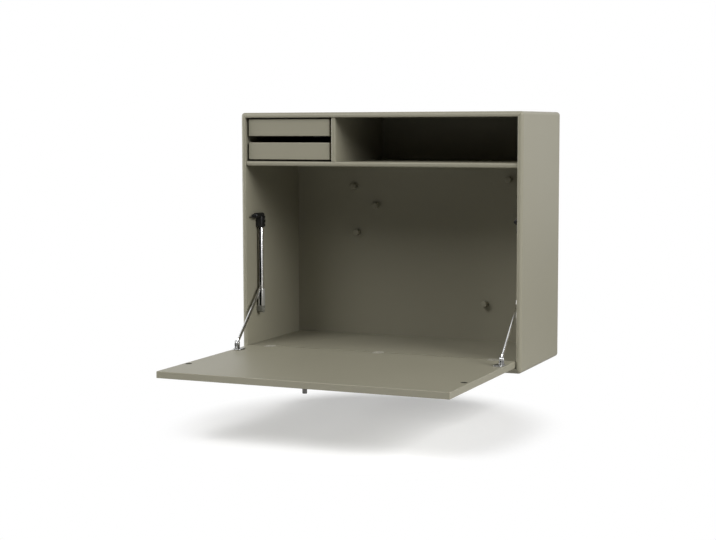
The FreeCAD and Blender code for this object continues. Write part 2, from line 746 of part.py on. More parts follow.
def stay_head(side, sign, holes):
    """The black head: a neck that holds the tube and a boss whose magnet pin meets the flap. Returns the pin."""
    neck = board(
        f"{side}_stay_neck",
        side_span(sign, "0", NECK_INWARD),
        (f"({TUBE_Y} - Dims.neck_forward)", "(Dims.neck_forward + Dims.neck_back)"),
        (NECK_LOW_Z, "Dims.neck_drop"),
        "Dims.neck_round",
        upright_edges,
    )
    boss_x = side_x(sign, "Dims.boss_inward")
    boss_back = f"({TUBE_Y} + Dims.boss_tail)"
    catch_front = f"({FLAP_FACE_Y} + Dims.catch_gap)"
    boss_front = f"({catch_front} + Dims.magnet_reach)"
    boss_size = ("Dims.boss_radius", f"({boss_back} - {boss_front})", "-y", boss_x, boss_back, CATCH_Z)
    boss = rod(f"{side}_stay_boss", *boss_size, "Dims.boss_round")
    socket = cylinder(
        f"{side}_tube_socket",
        "Dims.tube_radius + Dims.fit",
        "Dims.socket",
        "z",
        side_x(sign, "Dims.stay_inward"),
        TUBE_Y,
        NECK_LOW_Z,
    )
    pocket_size = ("Dims.magnet_radius + Dims.fit", "Dims.magnet_depth")
    pocket = cylinder(f"{side}_magnet_pocket", *pocket_size, "y", boss_x, boss_front, CATCH_Z)
    pin_size = ("Dims.magnet_radius", "Dims.magnet_reach + Dims.magnet_depth")
    whole = fuse(f"{side}_stay_head_blank", neck, boss)
    keep(f"{side}_stay_head", cut(f"{side}_stay_head", whole, socket, pocket, *holes))
    return cylinder(f"{side}_catch_magnet", *pin_size, "y", boss_x, catch_front, CATCH_Z)


def slotted_tube(name, x, low_z, length, radius, bore, slot, slot_length):
    """An upright tube with a slot down its front from its lower end."""
    upright = ("z", x, TUBE_Y, low_z)
    outside = cylinder(f"{name}_outside", radius, length, *upright)
    inside = cylinder(f"{name}_bore", bore, length, *upright)
    front = (f"({TUBE_Y} - {radius} - Dims.overrun)", f"({radius} + Dims.overrun)")
    opening = block(f"{name}_slot", around(x, slot), front, (low_z, slot_length))
    return keep(name, cut(name, outside, inside, opening))


def stay(side, sign, holes):
    """One fixed stay on a side panel: head, slotted tube, lower sleeve and foot. Returns its magnet."""
    x = side_x(sign, "Dims.stay_inward")
    magnet = stay_head(side, sign, holes[:2])
    to_neck = f"({NECK_LOW_Z} - {TUBE_LOW_Z})"
    slot_length = f"({to_neck} - Dims.slot_end)"
    tube = ("Dims.tube_radius", TUBE_BORE, "Dims.tube_slot", slot_length)
    slotted_tube(f"{side}_stay_tube", x, TUBE_LOW_Z, f"({to_neck} + Dims.socket)", *tube)
    outer = "(Dims.tube_radius + Dims.sleeve_wall)"
    sleeve = (outer, "(Dims.tube_radius + Dims.fit)", "Dims.sleeve_slot", "Dims.sleeve_length")
    slotted_tube(f"{side}_stay_sleeve", x, TUBE_LOW_Z, "Dims.sleeve_length", *sleeve)
    foot = board(
        f"{side}_stay_foot_blank",
        side_span(sign, "0", NECK_INWARD),
        around(TUBE_Y, f"(2 * {outer})"),
        (f"({TUBE_LOW_Z} - Dims.foot_height)", "Dims.foot_height"),
        "Dims.foot_round",
        upright_edges,
    )
    keep(f"{side}_stay_foot", cut(f"{side}_stay_foot", foot, *holes[2:]))
    return magnet


def stay_arm(side, sign):
    """A flat arm from the flap's lug to the tube, drawn level along Y and turned to its slant."""
    thick = "Dims.arm_thickness"
    near_face = "(-Dims.arm_thickness / 2)"
    bar = doc.addObject("Part::Box", f"{side}_arm_bar")
    bind(bar, Length=thick, Width=ARM_LENGTH, Height="Dims.arm_width")
    offset(bar, near_face, "0", "-Dims.arm_width / 2")

    def disc(name, radius, y):
        item = bind(doc.addObject("Part::Cylinder", f"{side}_arm_{name}"), Radius=radius, Height=thick)
        return offset(item, near_face, y, "0", ALONG["x"])

    eye = disc("eye", "Dims.arm_eye_radius", "0")
    tip = disc("tip", "Dims.arm_tip_radius", ARM_LENGTH)
    hole = disc("pin_hole", "Dims.lug_pin_radius + Dims.fit", "0")
    arm = cut(f"{side}_stay_arm", fuse(f"{side}_arm_blank", bar, eye, tip), hole)
    tilt = Rotation(Vector(1, 0, 0), 1)
    place(arm, side_x(sign, "Dims.stay_inward"), LOWER_PIVOT_Y, LOWER_PIVOT_Z, tilt)
    arm.setExpression("Placement.Rotation.Angle", f"atan2({ARM_RISE}; {ARM_DEEP})")
    keep(f"{side}_stay_arm", arm)


def stay_carriage(side, sign):
    """The carriage inside the tube, beside the arm's upper end on the wall's side."""
    low_z = f"({UPPER_PIVOT_Z} - Dims.carriage_length / 2)"
    size = (f"({TUBE_BORE} - Dims.carriage_fit)", "Dims.carriage_length", "z")
    round_bar = cylinder(f"{side}_carriage_bar", *size, side_x(sign, "Dims.stay_inward"), TUBE_Y, low_z)
    flat = "(Dims.stay_inward - Dims.arm_thickness / 2 - Dims.carriage_gap)"
    away = side_span(sign, flat, "(Dims.stay_inward + Dims.tube_radius)")
    deep = around(TUBE_Y, "(2 * Dims.tube_radius)")
    room = block(f"{side}_carriage_room", away, deep, (low_z, "Dims.carriage_length"))
    keep(f"{side}_stay_carriage", cut(f"{side}_stay_carriage", round_bar, room))


def flap_lug(side, sign, holes):
    """A forked lug on the flap that holds the arm's lower eye on a pin. Returns the pin."""
    x = side_x(sign, "Dims.stay_inward")
    base = board(
        f"{side}_lug_base",
        side_span(sign, LUG_BASE_NEAR, LUG_BASE_FAR),
        around(LOWER_PIVOT_Y, "Dims.lug_base_length"),
        (FLOOR_TOP_Z, "Dims.lug_base_thickness"),
        "Dims.lug_base_round",
        upright_edges,
    )
    wide = around(x, LUG_WIDTH)
    post_y = around(LOWER_PIVOT_Y, "Dims.lug_length")
    post = block(f"{side}_lug_post", wide, post_y, (FLOOR_TOP_Z, "Dims.lug_height"))
    top_size = ("Dims.lug_length / 2", LUG_WIDTH, "x", wide[0], LOWER_PIVOT_Y, LOWER_PIVOT_Z)
    top = cylinder(f"{side}_lug_top", *top_size)
    slot_z = f"({LOWER_PIVOT_Z} - Dims.arm_eye_radius - Dims.lug_play)"
    slot_size = "(2 * Dims.lug_length)"
    slot_y = around(LOWER_PIVOT_Y, slot_size)
    slot = block(f"{side}_lug_slot", around(x, LUG_SLOT), slot_y, (slot_z, slot_size))
    bore = cylinder(f"{side}_lug_bore", "Dims.lug_pin_radius + Dims.fit", LUG_WIDTH, *top_size[2:])
    whole = fuse(f"{side}_lug_blank", base, post, top)
    keep(f"{side}_flap_lug", cut(f"{side}_flap_lug", whole, slot, bore, *holes))
    return cylinder(f"{side}_lug_pin", "Dims.lug_pin_radius", LUG_WIDTH, *top_size[2:])


def lug_screw_points():
    """One screw in front of and one behind each lug."""
    points = []
    base_top = f"({FLOOR_TOP_Z} + Dims.lug_base_thickness)"
    for sign in SIDES.values():
        for step in (-1, 1):
            y = f"({LOWER_PIVOT_Y} + {step} * Dims.lug_screw_pitch / 2)"
            points.append(("-z", side_x(sign, LUG_BASE_MIDDLE), y, base_top))
    return points


def flap(cuts):
    """The flap with its knob, strike discs and lugs."""
    level = (FLAP_UNDER_Z, "Dims.flap_thickness")
    size = (around("0", FLAP_WIDTH), (FLAP_FRONT_Y, FLAP_LENGTH), level)
    blank = board("flap_blank", *size, "Dims.flap_round")
    knob_y = f"({FLAP_FRONT_Y} + Dims.knob_from_edge)"
    knob_size = ("Dims.knob_radius", "Dims.knob_length", "-z", "0", knob_y, FLAP_UNDER_Z)
    knob = rod("knob_blank", *knob_size, "Dims.knob_round", top_edges)
    stud_size = ("(2 * Dims.stud_sunk)", "z", "0", knob_y, f"({FLAP_UNDER_Z} - Dims.stud_sunk)")
    stud_room = cylinder("stud_room", "Dims.stud_radius + Dims.fit", *stud_size)
    keep("knob_stud", cylinder("knob_stud", "Dims.stud_radius", *stud_size))
    keep("flap_knob", cut("flap_knob", knob, stud_room))
    strikes = []
    for side, sign in SIDES.items():
        at = ("-z", side_x(sign, "Dims.catch_inward"), f"({AXIS_Y} - Dims.catch_reach)", FLOOR_TOP_Z)
        thick = "Dims.strike_thickness"
        strikes.append(cylinder(f"{side}_strike_disc", "Dims.strike_radius", thick, *at))
        cuts.append(cylinder(f"{side}_strike_room", "Dims.strike_radius + Dims.fit", thick, *at))
    keep("strike_discs", group("strike_discs", strikes))
    lug_holes = screws("lug_screws", lug_screw_points(), "Dims.lug_screw_length")
    pins = []
    for number, (side, sign) in enumerate(SIDES.items()):
        pins.append(flap_lug(side, sign, lug_holes[2 * number : 2 * number + 2]))
    keep("lug_pins", group("lug_pins", pins))
    keep("flap_panel", cut("flap_panel", blank, *cuts, *lug_holes, stud_room))


def tray(level, low_z):
    """An open tray: front, two grooved sides, back and bottom."""
    front = board(
        f"{level}_tray_front",
        (TRAY_X, TRAY_WIDTH),
        (TRAY_FRONT_Y, "Dims.tray_front_thickness"),
        (low_z, "Dims.tray_height"),
        "Dims.tray_front_round",
    )
    keep(f"{level}_tray_front", front)
    along = (TRAY_BOX_Y, TRAY_BOX_DEPTH)
    upright = (low_z, "Dims.tray_side_height")
    groove_z = f"({low_z} + Dims.runner_rise - Dims.runner_play)"
    groove = (groove_z, "(Dims.runner_height + 2 * Dims.runner_play)")
    starts = {"left": TRAY_X, "right": f"({TRAY_X} + {TRAY_WIDTH} - Dims.tray_side_thickness)"}
    groove_starts = {"left": TRAY_X, "right": f"({TRAY_X} + {TRAY_WIDTH} - Dims.runner_bite)"}
    for side, start in starts.items():
        name = f"{level}_tray_{side}_side"
        size = ((start, "Dims.tray_side_thickness"), along, upright)
        blank = board(f"{name}_blank", *size, "Dims.tray_rim_round", top_deep_edges)
        room = block(f"{name}_groove", (groove_starts[side], "Dims.runner_bite"), along, groove)
        keep(name, cut(name, blank, room))
    inside = (f"({TRAY_X} + Dims.tray_side_thickness)", TRAY_INSIDE)
    back_y = (f"({TRAY_BACK_Y} - Dims.tray_back_thickness)", "Dims.tray_back_thickness")
    back = board(f"{level}_tray_back", inside, back_y, upright, "Dims.tray_rim_round", top_wide_edges)
    keep(f"{level}_tray_back", back)
    bottom_y = (TRAY_BOX_Y, f"({TRAY_BOX_DEPTH} - Dims.tray_back_thickness)")
    bottom_z = (f"({low_z} + Dims.tray_bottom_lift)", "Dims.tray_bottom_thickness")
    keep(f"{level}_tray_bottom", block(f"{level}_tray_bottom", inside, bottom_y, bottom_z))


def runners():
    """Two runners per tray, on the left panel and the divider. Returns the screw holes of each side."""
    right_start = f"({BAY_RIGHT_X} - {RUNNER_WIDTH})"
    start_x = {"left": BAY_LEFT_X, "right": right_start}
    head_x = {"left": f"({BAY_LEFT_X} + {RUNNER_WIDTH})", "right": right_start}
    front_row = f"({RUNNER_Y} + Dims.runner_screw_inset)"
    back_row = f"({RUNNER_Y} + {RUNNER_LENGTH} - Dims.runner_screw_inset)"
    sunk = f"({RUNNER_WIDTH} + Dims.screw_sunk)"
    points = []
    for side in SIDES:
        for low_z in TRAYS.values():
            middle_z = f"({low_z} + Dims.runner_rise + Dims.runner_height / 2)"
            points += [(OUTWARD[side], head_x[side], y, middle_z) for y in (front_row, back_row)]
    every_hole = screws("runner_screws", points, sunk)
    half = len(every_hole) // 2
    side_holes = {"left": every_hole[:half], "right": every_hole[half:]}
    for side in SIDES:
        blanks = []
        for level, low_z in TRAYS.items():
            upright = (f"({low_z} + Dims.runner_rise)", "Dims.runner_height")
            size = ((start_x[side], RUNNER_WIDTH), (RUNNER_Y, RUNNER_LENGTH), upright)
            blanks.append(block(f"{level}_{side}_runner_blank", *size))
        name = f"{side}_tray_runners"
        keep(name, cut(name, group(f"{name}_blanks", blanks), *side_holes[side]))
    return side_holes


def desk():
    """Build every piece of the desk."""
    fill_sheet()
    runner_holes = runners()
    shelf_holes, divider_holes = shelf_and_divider(runner_holes["right"])
    back_and_fixings()
    floor_cuts, flap_cuts = hinges()
    floor_holes = floor_board(floor_cuts)
    stay_holes = screws("stay_screws", stay_screw_points(), f"({NECK_INWARD} + Dims.screw_sunk)")
    carcass(divider_holes, [*shelf_holes, *stay_holes, *runner_holes["left"]], floor_holes)
    half = len(stay_holes) // 2
    magnets = []
    for number, (side, sign) in enumerate(SIDES.items()):
        magnets.append(stay(side, sign, stay_holes[number * half : (number + 1) * half]))
        stay_arm(side, sign)
        stay_carriage(side, sign)
    keep("catch_magnets", group("catch_magnets", magnets))
    flap(flap_cuts)
    for level, low_z in TRAYS.items():
        tray(level, low_z)
    doc.recompute()


def check():
    """Stop if any feature failed or any piece is empty or invalid."""
    failed = [item.Name for item in doc.Objects if {"Invalid", "Error"} & set(item.State)]
    empty = [name for name, item in pieces.items() if item.Shape.isNull() or not item.Shape.isValid()]
    if failed or empty:
        raise RuntimeError(f"failed features {failed}, bad pieces {empty}")


def write():
    """Write each piece to a file of its own name."""
    os.makedirs("parts", exist_ok=True)
    for name, item in pieces.items():
        item.Shape.exportStep(f"parts/{name}.step")
        print(f"{name}: {len(item.Shape.Solids)} solid(s), {item.Shape.Volume:.0f} mm3")
    print(f"{len(pieces)} pieces")


desk()
check()
write()
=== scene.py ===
"""Finishes of a wall-mounted drop-flap desk: satin lacquer, bright stays, nickel hinges, a pale stage."""

import json
import math

import bmesh
import bpy
from bpy.props import FloatProperty, FloatVectorProperty, PointerProperty
from mathutils import Matrix, Vector


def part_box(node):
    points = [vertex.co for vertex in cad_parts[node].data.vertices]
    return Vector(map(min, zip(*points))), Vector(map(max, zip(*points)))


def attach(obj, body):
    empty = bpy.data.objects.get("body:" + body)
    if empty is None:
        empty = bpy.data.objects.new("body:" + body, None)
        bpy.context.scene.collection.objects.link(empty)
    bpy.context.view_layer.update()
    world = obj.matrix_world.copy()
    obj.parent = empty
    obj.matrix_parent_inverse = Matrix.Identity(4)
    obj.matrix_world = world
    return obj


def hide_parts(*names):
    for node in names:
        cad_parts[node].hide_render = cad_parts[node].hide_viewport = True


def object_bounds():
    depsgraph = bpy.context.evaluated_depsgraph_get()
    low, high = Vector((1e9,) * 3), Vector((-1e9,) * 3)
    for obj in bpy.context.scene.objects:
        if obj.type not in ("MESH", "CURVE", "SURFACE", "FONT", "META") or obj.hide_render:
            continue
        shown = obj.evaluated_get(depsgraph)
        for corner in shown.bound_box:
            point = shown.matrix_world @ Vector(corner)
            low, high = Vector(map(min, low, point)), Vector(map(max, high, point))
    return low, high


bl_info = {
    "name": "Drop-flap desk",
    "version": (1, 0, 0),
    "blender": (4, 5, 0),
    "location": "3D View > Sidebar > Desk",
    "description": "Dresses a drop-flap desk and sets it on a pale stage",
    "category": "Object",
}

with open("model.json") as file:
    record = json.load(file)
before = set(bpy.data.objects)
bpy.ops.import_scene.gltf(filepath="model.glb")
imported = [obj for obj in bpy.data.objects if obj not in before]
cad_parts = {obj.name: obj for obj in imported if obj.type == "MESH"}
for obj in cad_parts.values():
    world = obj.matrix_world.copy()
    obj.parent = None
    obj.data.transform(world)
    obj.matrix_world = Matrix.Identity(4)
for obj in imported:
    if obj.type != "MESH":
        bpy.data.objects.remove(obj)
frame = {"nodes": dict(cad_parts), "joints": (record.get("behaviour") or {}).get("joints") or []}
CAD_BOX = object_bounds()
SIDES = {"left": -1, "right": 1}
MM = 0.001
SMOOTH_ANGLE = math.radians(38)

# Distances within which points are one, or lie on the end of a solid
WELD = 0.001 * MM
RING_WELD = 0.002 * MM
END_DEPTH = 0.05 * MM

# A slab's own X, Y and Z where it stands on edge along the desk's depth
ON_EDGE = ((0, 1, 0), (0, 0, 1), (1, 0, 0))

# CAD nodes that share a finish
CARCASS = ("top_panel", "bottom_panel", "left_side_panel", "right_side_panel")
BOARDS = ("back_panel", "shelf", "tray_divider", "desk_floor_board", "flap_panel", "magnetic_back_sheet")
TRAY_PARTS = ("front", "left_side", "right_side", "back", "bottom")
HINGES = ("left_hinge", "middle_hinge", "right_hinge")

# How a metal's streaks are squeezed along X, Y and Z
DRAWN = (160.0, 160.0, 9.0)
BRUSHED = (40.0, 900.0, 900.0)
CAST = (160.0, 160.0, 90.0)

# Painted shade inside the bore of a slotted tube: its near-black tones, dull roughness and soft edge
BORE_SHADE_TONES = ((0.004, 0.004, 0.004, 1), (0.012, 0.012, 0.011, 1))
BORE_SHADE_ROUGHNESS = 0.7
BORE_SHADE_EDGE = 0.1 * MM


def maths(operation, swapped=False):
    """A method of Value that adds a Math node, swapped for a reflected form."""

    def method(self, *others):
        values = (*others, self) if swapped else (self, *others)
        return self.graph.add("ShaderNodeMath", values, operation=operation)["Value"]

    return method


class Value:
    """A socket of a node tree, whose sums and products add Math nodes."""

    def __init__(self, graph, socket):
        self.graph = graph
        self.socket = socket

    __add__ = __radd__ = maths("ADD")
    __mul__ = __rmul__ = maths("MULTIPLY")
    __sub__ = maths("SUBTRACT")
    __rsub__ = maths("SUBTRACT", swapped=True)
    __truediv__ = maths("DIVIDE")
    __rtruediv__ = maths("DIVIDE", swapped=True)
    __abs__ = maths("ABSOLUTE")
    most = maths("MAXIMUM")
    least = maths("MINIMUM")
    sine = maths("SINE")
    root = maths("SQRT")

    def __neg__(self):
        return self * -1.0


class Graph:
    """Fills a node tree, of a material, the world or a modifier."""

    def __init__(self, tree, owner=None):
        self.tree = tree
        self.owner = owner
        tree.nodes.clear()

    def add(self, kind, values=(), **settings):
        """A node of a kind, with its settings and then its sockets' values. Gives its outputs by name."""
        node = self.tree.nodes.new(kind)
        for name, setting in settings.items():
            setattr(node, name, setting)
        for key, value in values.items() if isinstance(values, dict) else enumerate(values):
            for item in value if isinstance(value, list) else [value]:
                if isinstance(item, Value):
                    self.tree.links.new(item.socket, node.inputs[key])
                else:
                    node.inputs[key].default_value = item
        return {socket.name: Value(self, socket) for socket in node.outputs if socket.enabled}

    def noise(self, place, size, detail=2.0):
        """Soft noise from 0 to 1 whose spots are about as wide as a size."""
        return self.add("ShaderNodeTexNoise", {"Vector": place, "Scale": 1 / size, "Detail": detail})["Fac"]

    def spots(self, place, size, output="Distance"):
        """Distance to the nearest of scattered points, or each cell's own colour."""
        return self.add("ShaderNodeTexVoronoi", {"Vector": place, "Scale": 1 / size})[output]

    def fade(self, value, start, end):
        """A smooth step from 0 at start to 1 at end."""
        values = {"Value": value, "From Min": start, "From Max": end}
        return self.add("ShaderNodeMapRange", values, interpolation_type="SMOOTHSTEP")["Result"]

    def blend(self, share, first, second):
        """A colour between two, by a share. The node's sockets share names, so they go by number."""
        return self.add("ShaderNodeMix", {0: share, 6: first, 7: second}, data_type="RGBA")["Result"]

    def stretch(self, place, along):
        """Coordinates scaled along each axis."""
        return self.add("ShaderNodeMapping", {"Vector": place, "Scale": along})["Vector"]

    def parts(self, vector):
        """The three numbers of a vector."""
        made = self.add("ShaderNodeSeparateXYZ", {"Vector": vector})
        return made["X"], made["Y"], made["Z"]

    def rounded_edges(self, facing):
        """A mask of the rounded edges of a square-cut board: where it faces along no axis."""
        x, y, z = self.parts(facing)
        return self.fade(1 - abs(x).most(abs(y)).most(abs(z)), 0.004, 0.12)

    @staticmethod
    def reach(across, along):
        """Distance from an axis, by the two offsets from it."""
        return (across * across + along * along).root()


def new_material(name):
    """The graph of an empty material, with object coordinates and the object's own normal."""
    material = bpy.data.materials.new(name)
    material.use_nodes = True
    graph = Graph(material.node_tree, material)
    where = graph.add("ShaderNodeTexCoord")
    return graph, where["Object"], where["Normal"]


def surface(graph, colour, roughness, height, depth, fixed=()):
    """A Principled surface with a bump of some depth, joined to the output. Gives the material."""
    normal = graph.add("ShaderNodeBump", {"Strength": 1.0, "Distance": depth, "Height": height})["Normal"]
    values = {"Base Color": colour, "Roughness": roughness, "Normal": normal}
    values.update(fixed)
    shader = graph.add("ShaderNodeBsdfPrincipled", values)["BSDF"]
    graph.add("ShaderNodeOutputMaterial", {"Surface": shader})
    return graph.owner


def tints(colour, *amounts):
    """A colour made lighter or darker by each amount, with full alpha."""
    return [(*(min(1.0, channel * amount) for channel in colour), 1.0) for amount in amounts]


def grey(level):
    """A neutral colour with full alpha."""
    return (level, level, level, 1.0)


def satin_lacquer(name, look, mitres=None):
    """Sprayed satin lacquer: soft clouds, fine ripple, a few dust nibs, a painted sheen that lightens the
    rounded edges, which are also less rough, and mitre lines.
    """
    graph, place, facing = new_material(name)
    cloud = graph.noise(place, look.cloud_size, 4.0)
    ripple = graph.noise(place, look.ripple_size, 1.0)
    grit = graph.noise(place, look.ripple_size / 5, 0.0)
    nibs = 1 - graph.fade(graph.spots(place, look.nib_spacing), 0.006, 0.018)
    edge = graph.rounded_edges(facing)
    colour = graph.blend(cloud, *tints(look.colour, 0.965, 1.035))
    # Painted sheen: the rounded edges are painted a lighter tone of the lacquer
    colour = graph.blend(edge * 0.35, colour, *tints(look.colour, 1.14))
    height = ripple * 0.75 + grit * 0.25 + nibs * 0.8
    if mitres:
        x, _, z = graph.parts(place)
        from_side = mitres[0] - abs(x)
        from_end = (z - mitres[1]).least(mitres[2] - z)
        seam = 1 - graph.fade(abs(from_side - from_end), 0.12 * MM, 0.42 * MM)
        colour = graph.blend(seam * 0.55, colour, *tints(look.colour, 0.45))
        height = height - seam * 3.0
    roughness = look.roughness + (cloud - 0.5) * 0.10 + (ripple - 0.5) * 0.06 - edge * 0.05
    return surface(graph, colour, roughness, height, look.ripple_depth, {"Specular IOR Level": look.gloss})


def smeared(graph, place, look, colour):
    """Handling smears on metal, and its colour under them."""
    smear = graph.noise(place, look.smear_size, 3.0)
    return smear, graph.blend(smear, *tints(colour, 0.90, 1.06))


def drawn_metal(name, look, colour, roughness, streak, metal=1.0):
    """Plated or drawn metal: streaks along one way and faint smears."""
    graph, place, _ = new_material(name)
    lines = graph.noise(graph.stretch(place, streak), 1.0, 2.0)
    smear, shade = smeared(graph, place, look, colour)
    rough = roughness + (lines - 0.5) * look.streak_spread
    rough = rough + graph.fade(smear, 0.45, 0.75) * look.smear_spread
    return surface(graph, shade, rough, lines, look.streak_depth, {"Metallic": metal})


def tube_with_bore_shade(name, look, colour, roughness, metal, axis, shade_radius):
    """Drawn tube, bright outside, and near-black painted shade in place of metal inside a radius round an
    axis that both sides share.
    """
    graph, place, _ = new_material(name)
    x, y, _ = graph.parts(place)
    radius = graph.reach(abs(x) - axis[0], y - axis[1])
    outside = graph.fade(radius, shade_radius - BORE_SHADE_EDGE, shade_radius + BORE_SHADE_EDGE)
    lines = graph.noise(graph.stretch(place, DRAWN), 1.0, 2.0)
    _, bright = smeared(graph, place, look, colour)
    # Inside the shaded radius the bore is painted near black as shade, and is not metallic
    shade = graph.blend(outside, graph.blend(lines, *BORE_SHADE_TONES), bright)
    rough = BORE_SHADE_ROUGHNESS + outside * (roughness - BORE_SHADE_ROUGHNESS + (lines - 0.5) * look.streak_spread)
    return surface(graph, shade, rough, lines, look.streak_depth, {"Metallic": outside * metal})


def plated_zinc(name, look):
    """Zinc-plated steel: dull spangles of slightly different greys."""
    graph, place, _ = new_material(name)
    cells = graph.spots(place, 4.5 * MM, "Color")
    tone, gleam, _ = graph.parts(cells)
    wash = graph.noise(place, 30 * MM, 3.0)
    shade = graph.blend(tone * 0.7 + wash * 0.3, *tints(look.zinc, 0.82, 1.15))
    return surface(graph, shade, 0.34 + gleam * 0.16, wash, 0.02 * MM, {"Metallic": 1.0})


def moulded(name, colour, roughness):
    """Moulded plastic: an even spark-eroded texture, with a little flow shading."""
    graph, place, _ = new_material(name)
    texture = graph.noise(place, 0.45 * MM, 2.0)
    flow = graph.noise(place, 14 * MM, 3.0)
    shade = graph.blend(flow, *tints(colour, 0.85, 1.25))
    rough = roughness + (texture - 0.5) * 0.12 + (flow - 0.5) * 0.08
    return surface(graph, shade, rough, texture, 0.03 * MM)


def beech(name, look):
    """Raw beech: long fibres and short dark flecks."""
    graph, place, _ = new_material(name)
    fibres = graph.noise(graph.stretch(place, (900.0, 60.0, 900.0)), 1.0, 3.0)
    flecks = graph.noise(graph.stretch(place, (700.0, 160.0, 700.0)), 1.0, 1.0)
    shade = graph.blend(fibres, *tints(look.beech, 0.78, 1.12))
    shade = graph.blend(graph.fade(flecks, 0.66, 0.72) * 0.6, shade, *tints(look.beech, 0.5))
    return surface(graph, shade, 0.55 + fibres * 0.15, fibres, 0.06 * MM)


def turned_steel(name, colour, roughness, centre, pitch, fixed):
    """Steel faced on a lathe: fine rings round a centre that both sides of the desk share."""
    graph, place, _ = new_material(name)
    x, y, _ = graph.parts(place)
    radius = graph.reach(abs(x) - centre[0], y - centre[1])
    rings = (radius * (2 * math.pi / pitch)).sine() * 0.5 + 0.5
    wear = graph.noise(place, 5 * MM, 3.0)
    shade = graph.blend(wear, *tints(colour, 0.75, 1.3))
    rough = roughness + (rings - 0.5) * 0.08 + (wear - 0.5) * 0.1
    return surface(graph, shade, rough, rings, 0.02 * MM, fixed)


def material_of(key, build, *values):
    """A material by its name, built when it is first asked for."""
    return bpy.data.materials.get(key) or build(key, *values)


def finish_of(name):
    """A finish made from the scene's settings alone, by its name."""
    scene = bpy.context.scene
    metal, plastic = scene.desk_metal, scene.desk_plastic
    hinge = (metal.hinge, metal.nickel_roughness, BRUSHED, metal.hinge_metallic)
    finishes = {
        "satin lacquer": (satin_lacquer, scene.desk_lacquer),
        "bright chrome": (drawn_metal, metal, metal.chrome, metal.chrome_roughness, DRAWN),
        "satin nickel": (drawn_metal, metal, metal.nickel, metal.nickel_roughness, BRUSHED),
        "brushed hinge": (drawn_metal, metal, *hinge),
        "cast lug": (drawn_metal, metal, metal.lug, metal.sleeve_roughness, CAST),
        "zinc plate": (plated_zinc, metal),
        "beech": (beech, metal),
        "black moulding": (moulded, plastic.black, plastic.black_roughness),
        "grey moulding": (moulded, plastic.grey, plastic.grey_roughness),
        "runner nylon": (moulded, plastic.runner, plastic.runner_roughness),
    }
    return material_of(name, *finishes[name])


def dress(nodes, material):
    """Give CAD nodes a material."""
    for node in nodes:
        slots = frame["nodes"][node].data.materials
        slots.clear()
        slots.append(material)


def islands(node):
    """The separate solids of a CAD node, each as its points, in order across the desk."""
    mesh = bmesh.new()
    mesh.from_mesh(frame["nodes"][node].data)
    bmesh.ops.remove_doubles(mesh, verts=mesh.verts, dist=WELD)
    waiting = set(mesh.verts)
    found = []
    while waiting:
        front = [waiting.pop()]
        points = []
        while front:
            vert = front.pop()
            points.append(vert.co.copy())
            joined = {edge.other_vert(vert) for edge in vert.link_edges} & waiting
            waiting -= joined
            front += joined
        found.append(points)
    mesh.free()
    return sorted(found, key=lambda points: tuple(round(c, 5) for c in corners(points)[0]))


def corners(points):
    """Lowest and highest corner of some points."""
    low = Vector([min(p[i] for p in points) for i in range(3)])
    high = Vector([max(p[i] for p in points) for i in range(3)])
    return low, high


def end_places(node):
    """The wide end of each round solid of a node, as the point, the way it faces and its length."""
    places = []
    for points in islands(node):
        low, high = corners(points)
        size = high - low
        along = max(range(3), key=lambda i: size[i])
        middle = (low + high) / 2

        def width(end):
            near = [p for p in points if abs(p[along] - end) < END_DEPTH]
            return max((p - middle).length_squared - (end - middle[along]) ** 2 for p in near)

        high_end = width(high[along]) > width(low[along])
        place = middle.copy()
        place[along] = high[along] if high_end else low[along]
        facing = Vector()
        facing[along] = 1.0 if high_end else -1.0
        places.append((place, facing, size[along]))
    return places


def seats(node, axis, way):
    """The high end of each solid of a node along an axis, with the way to face, and the solids' size."""
    places = []
    for points in islands(node):
        low, high = corners(points)
        place = (low + high) / 2
        place[axis] = high[axis]
        places.append((place, Vector(way)))
    return places, high - low


def new_geometry_tree(name, inputs):
    """A modifier tree on points, with named sizes and a material. Gives its graph, inputs and sizes."""
    tree = bpy.data.node_groups.new(name, "GeometryNodeTree")

    def socket(label, kind, way="INPUT"):
        return tree.interface.new_socket(label, in_out=way, socket_type=f"NodeSocket{kind}")

    socket("Geometry", "Geometry")
    for label, default in inputs.items():
        size = socket(label, "Float")
        size.subtype = "DISTANCE"
        size.default_value = default
    socket("Material", "Material")
    socket("Geometry", "Geometry", "OUTPUT")
    graph = Graph(tree)
    made = graph.add("NodeGroupInput")
    return graph, made, [made[label] for label in inputs]


def turned_rings(graph, stations, sides):
    """A turned shape from (radius, height) stations that climb, as nodes."""
    rings = []
    for (foot, low), (top, high) in zip(stations, stations[1:]):
        values = {"Vertices": sides, "Radius Top": top, "Radius Bottom": foot, "Depth": high - low}
        ring = graph.add("GeometryNodeMeshCone", values, fill_type="NONE")["Mesh"]
        lift = graph.add("ShaderNodeCombineXYZ", {"Z": low})["Vector"]
        values = {"Geometry": ring, "Translation": lift}
        rings.append(graph.add("GeometryNodeTransform", values)["Geometry"])
    whole = graph.add("GeometryNodeJoinGeometry", {"Geometry": rings})["Geometry"]
    return graph.add("GeometryNodeMergeByDistance", {"Geometry": whole, "Distance": RING_WELD})["Geometry"]


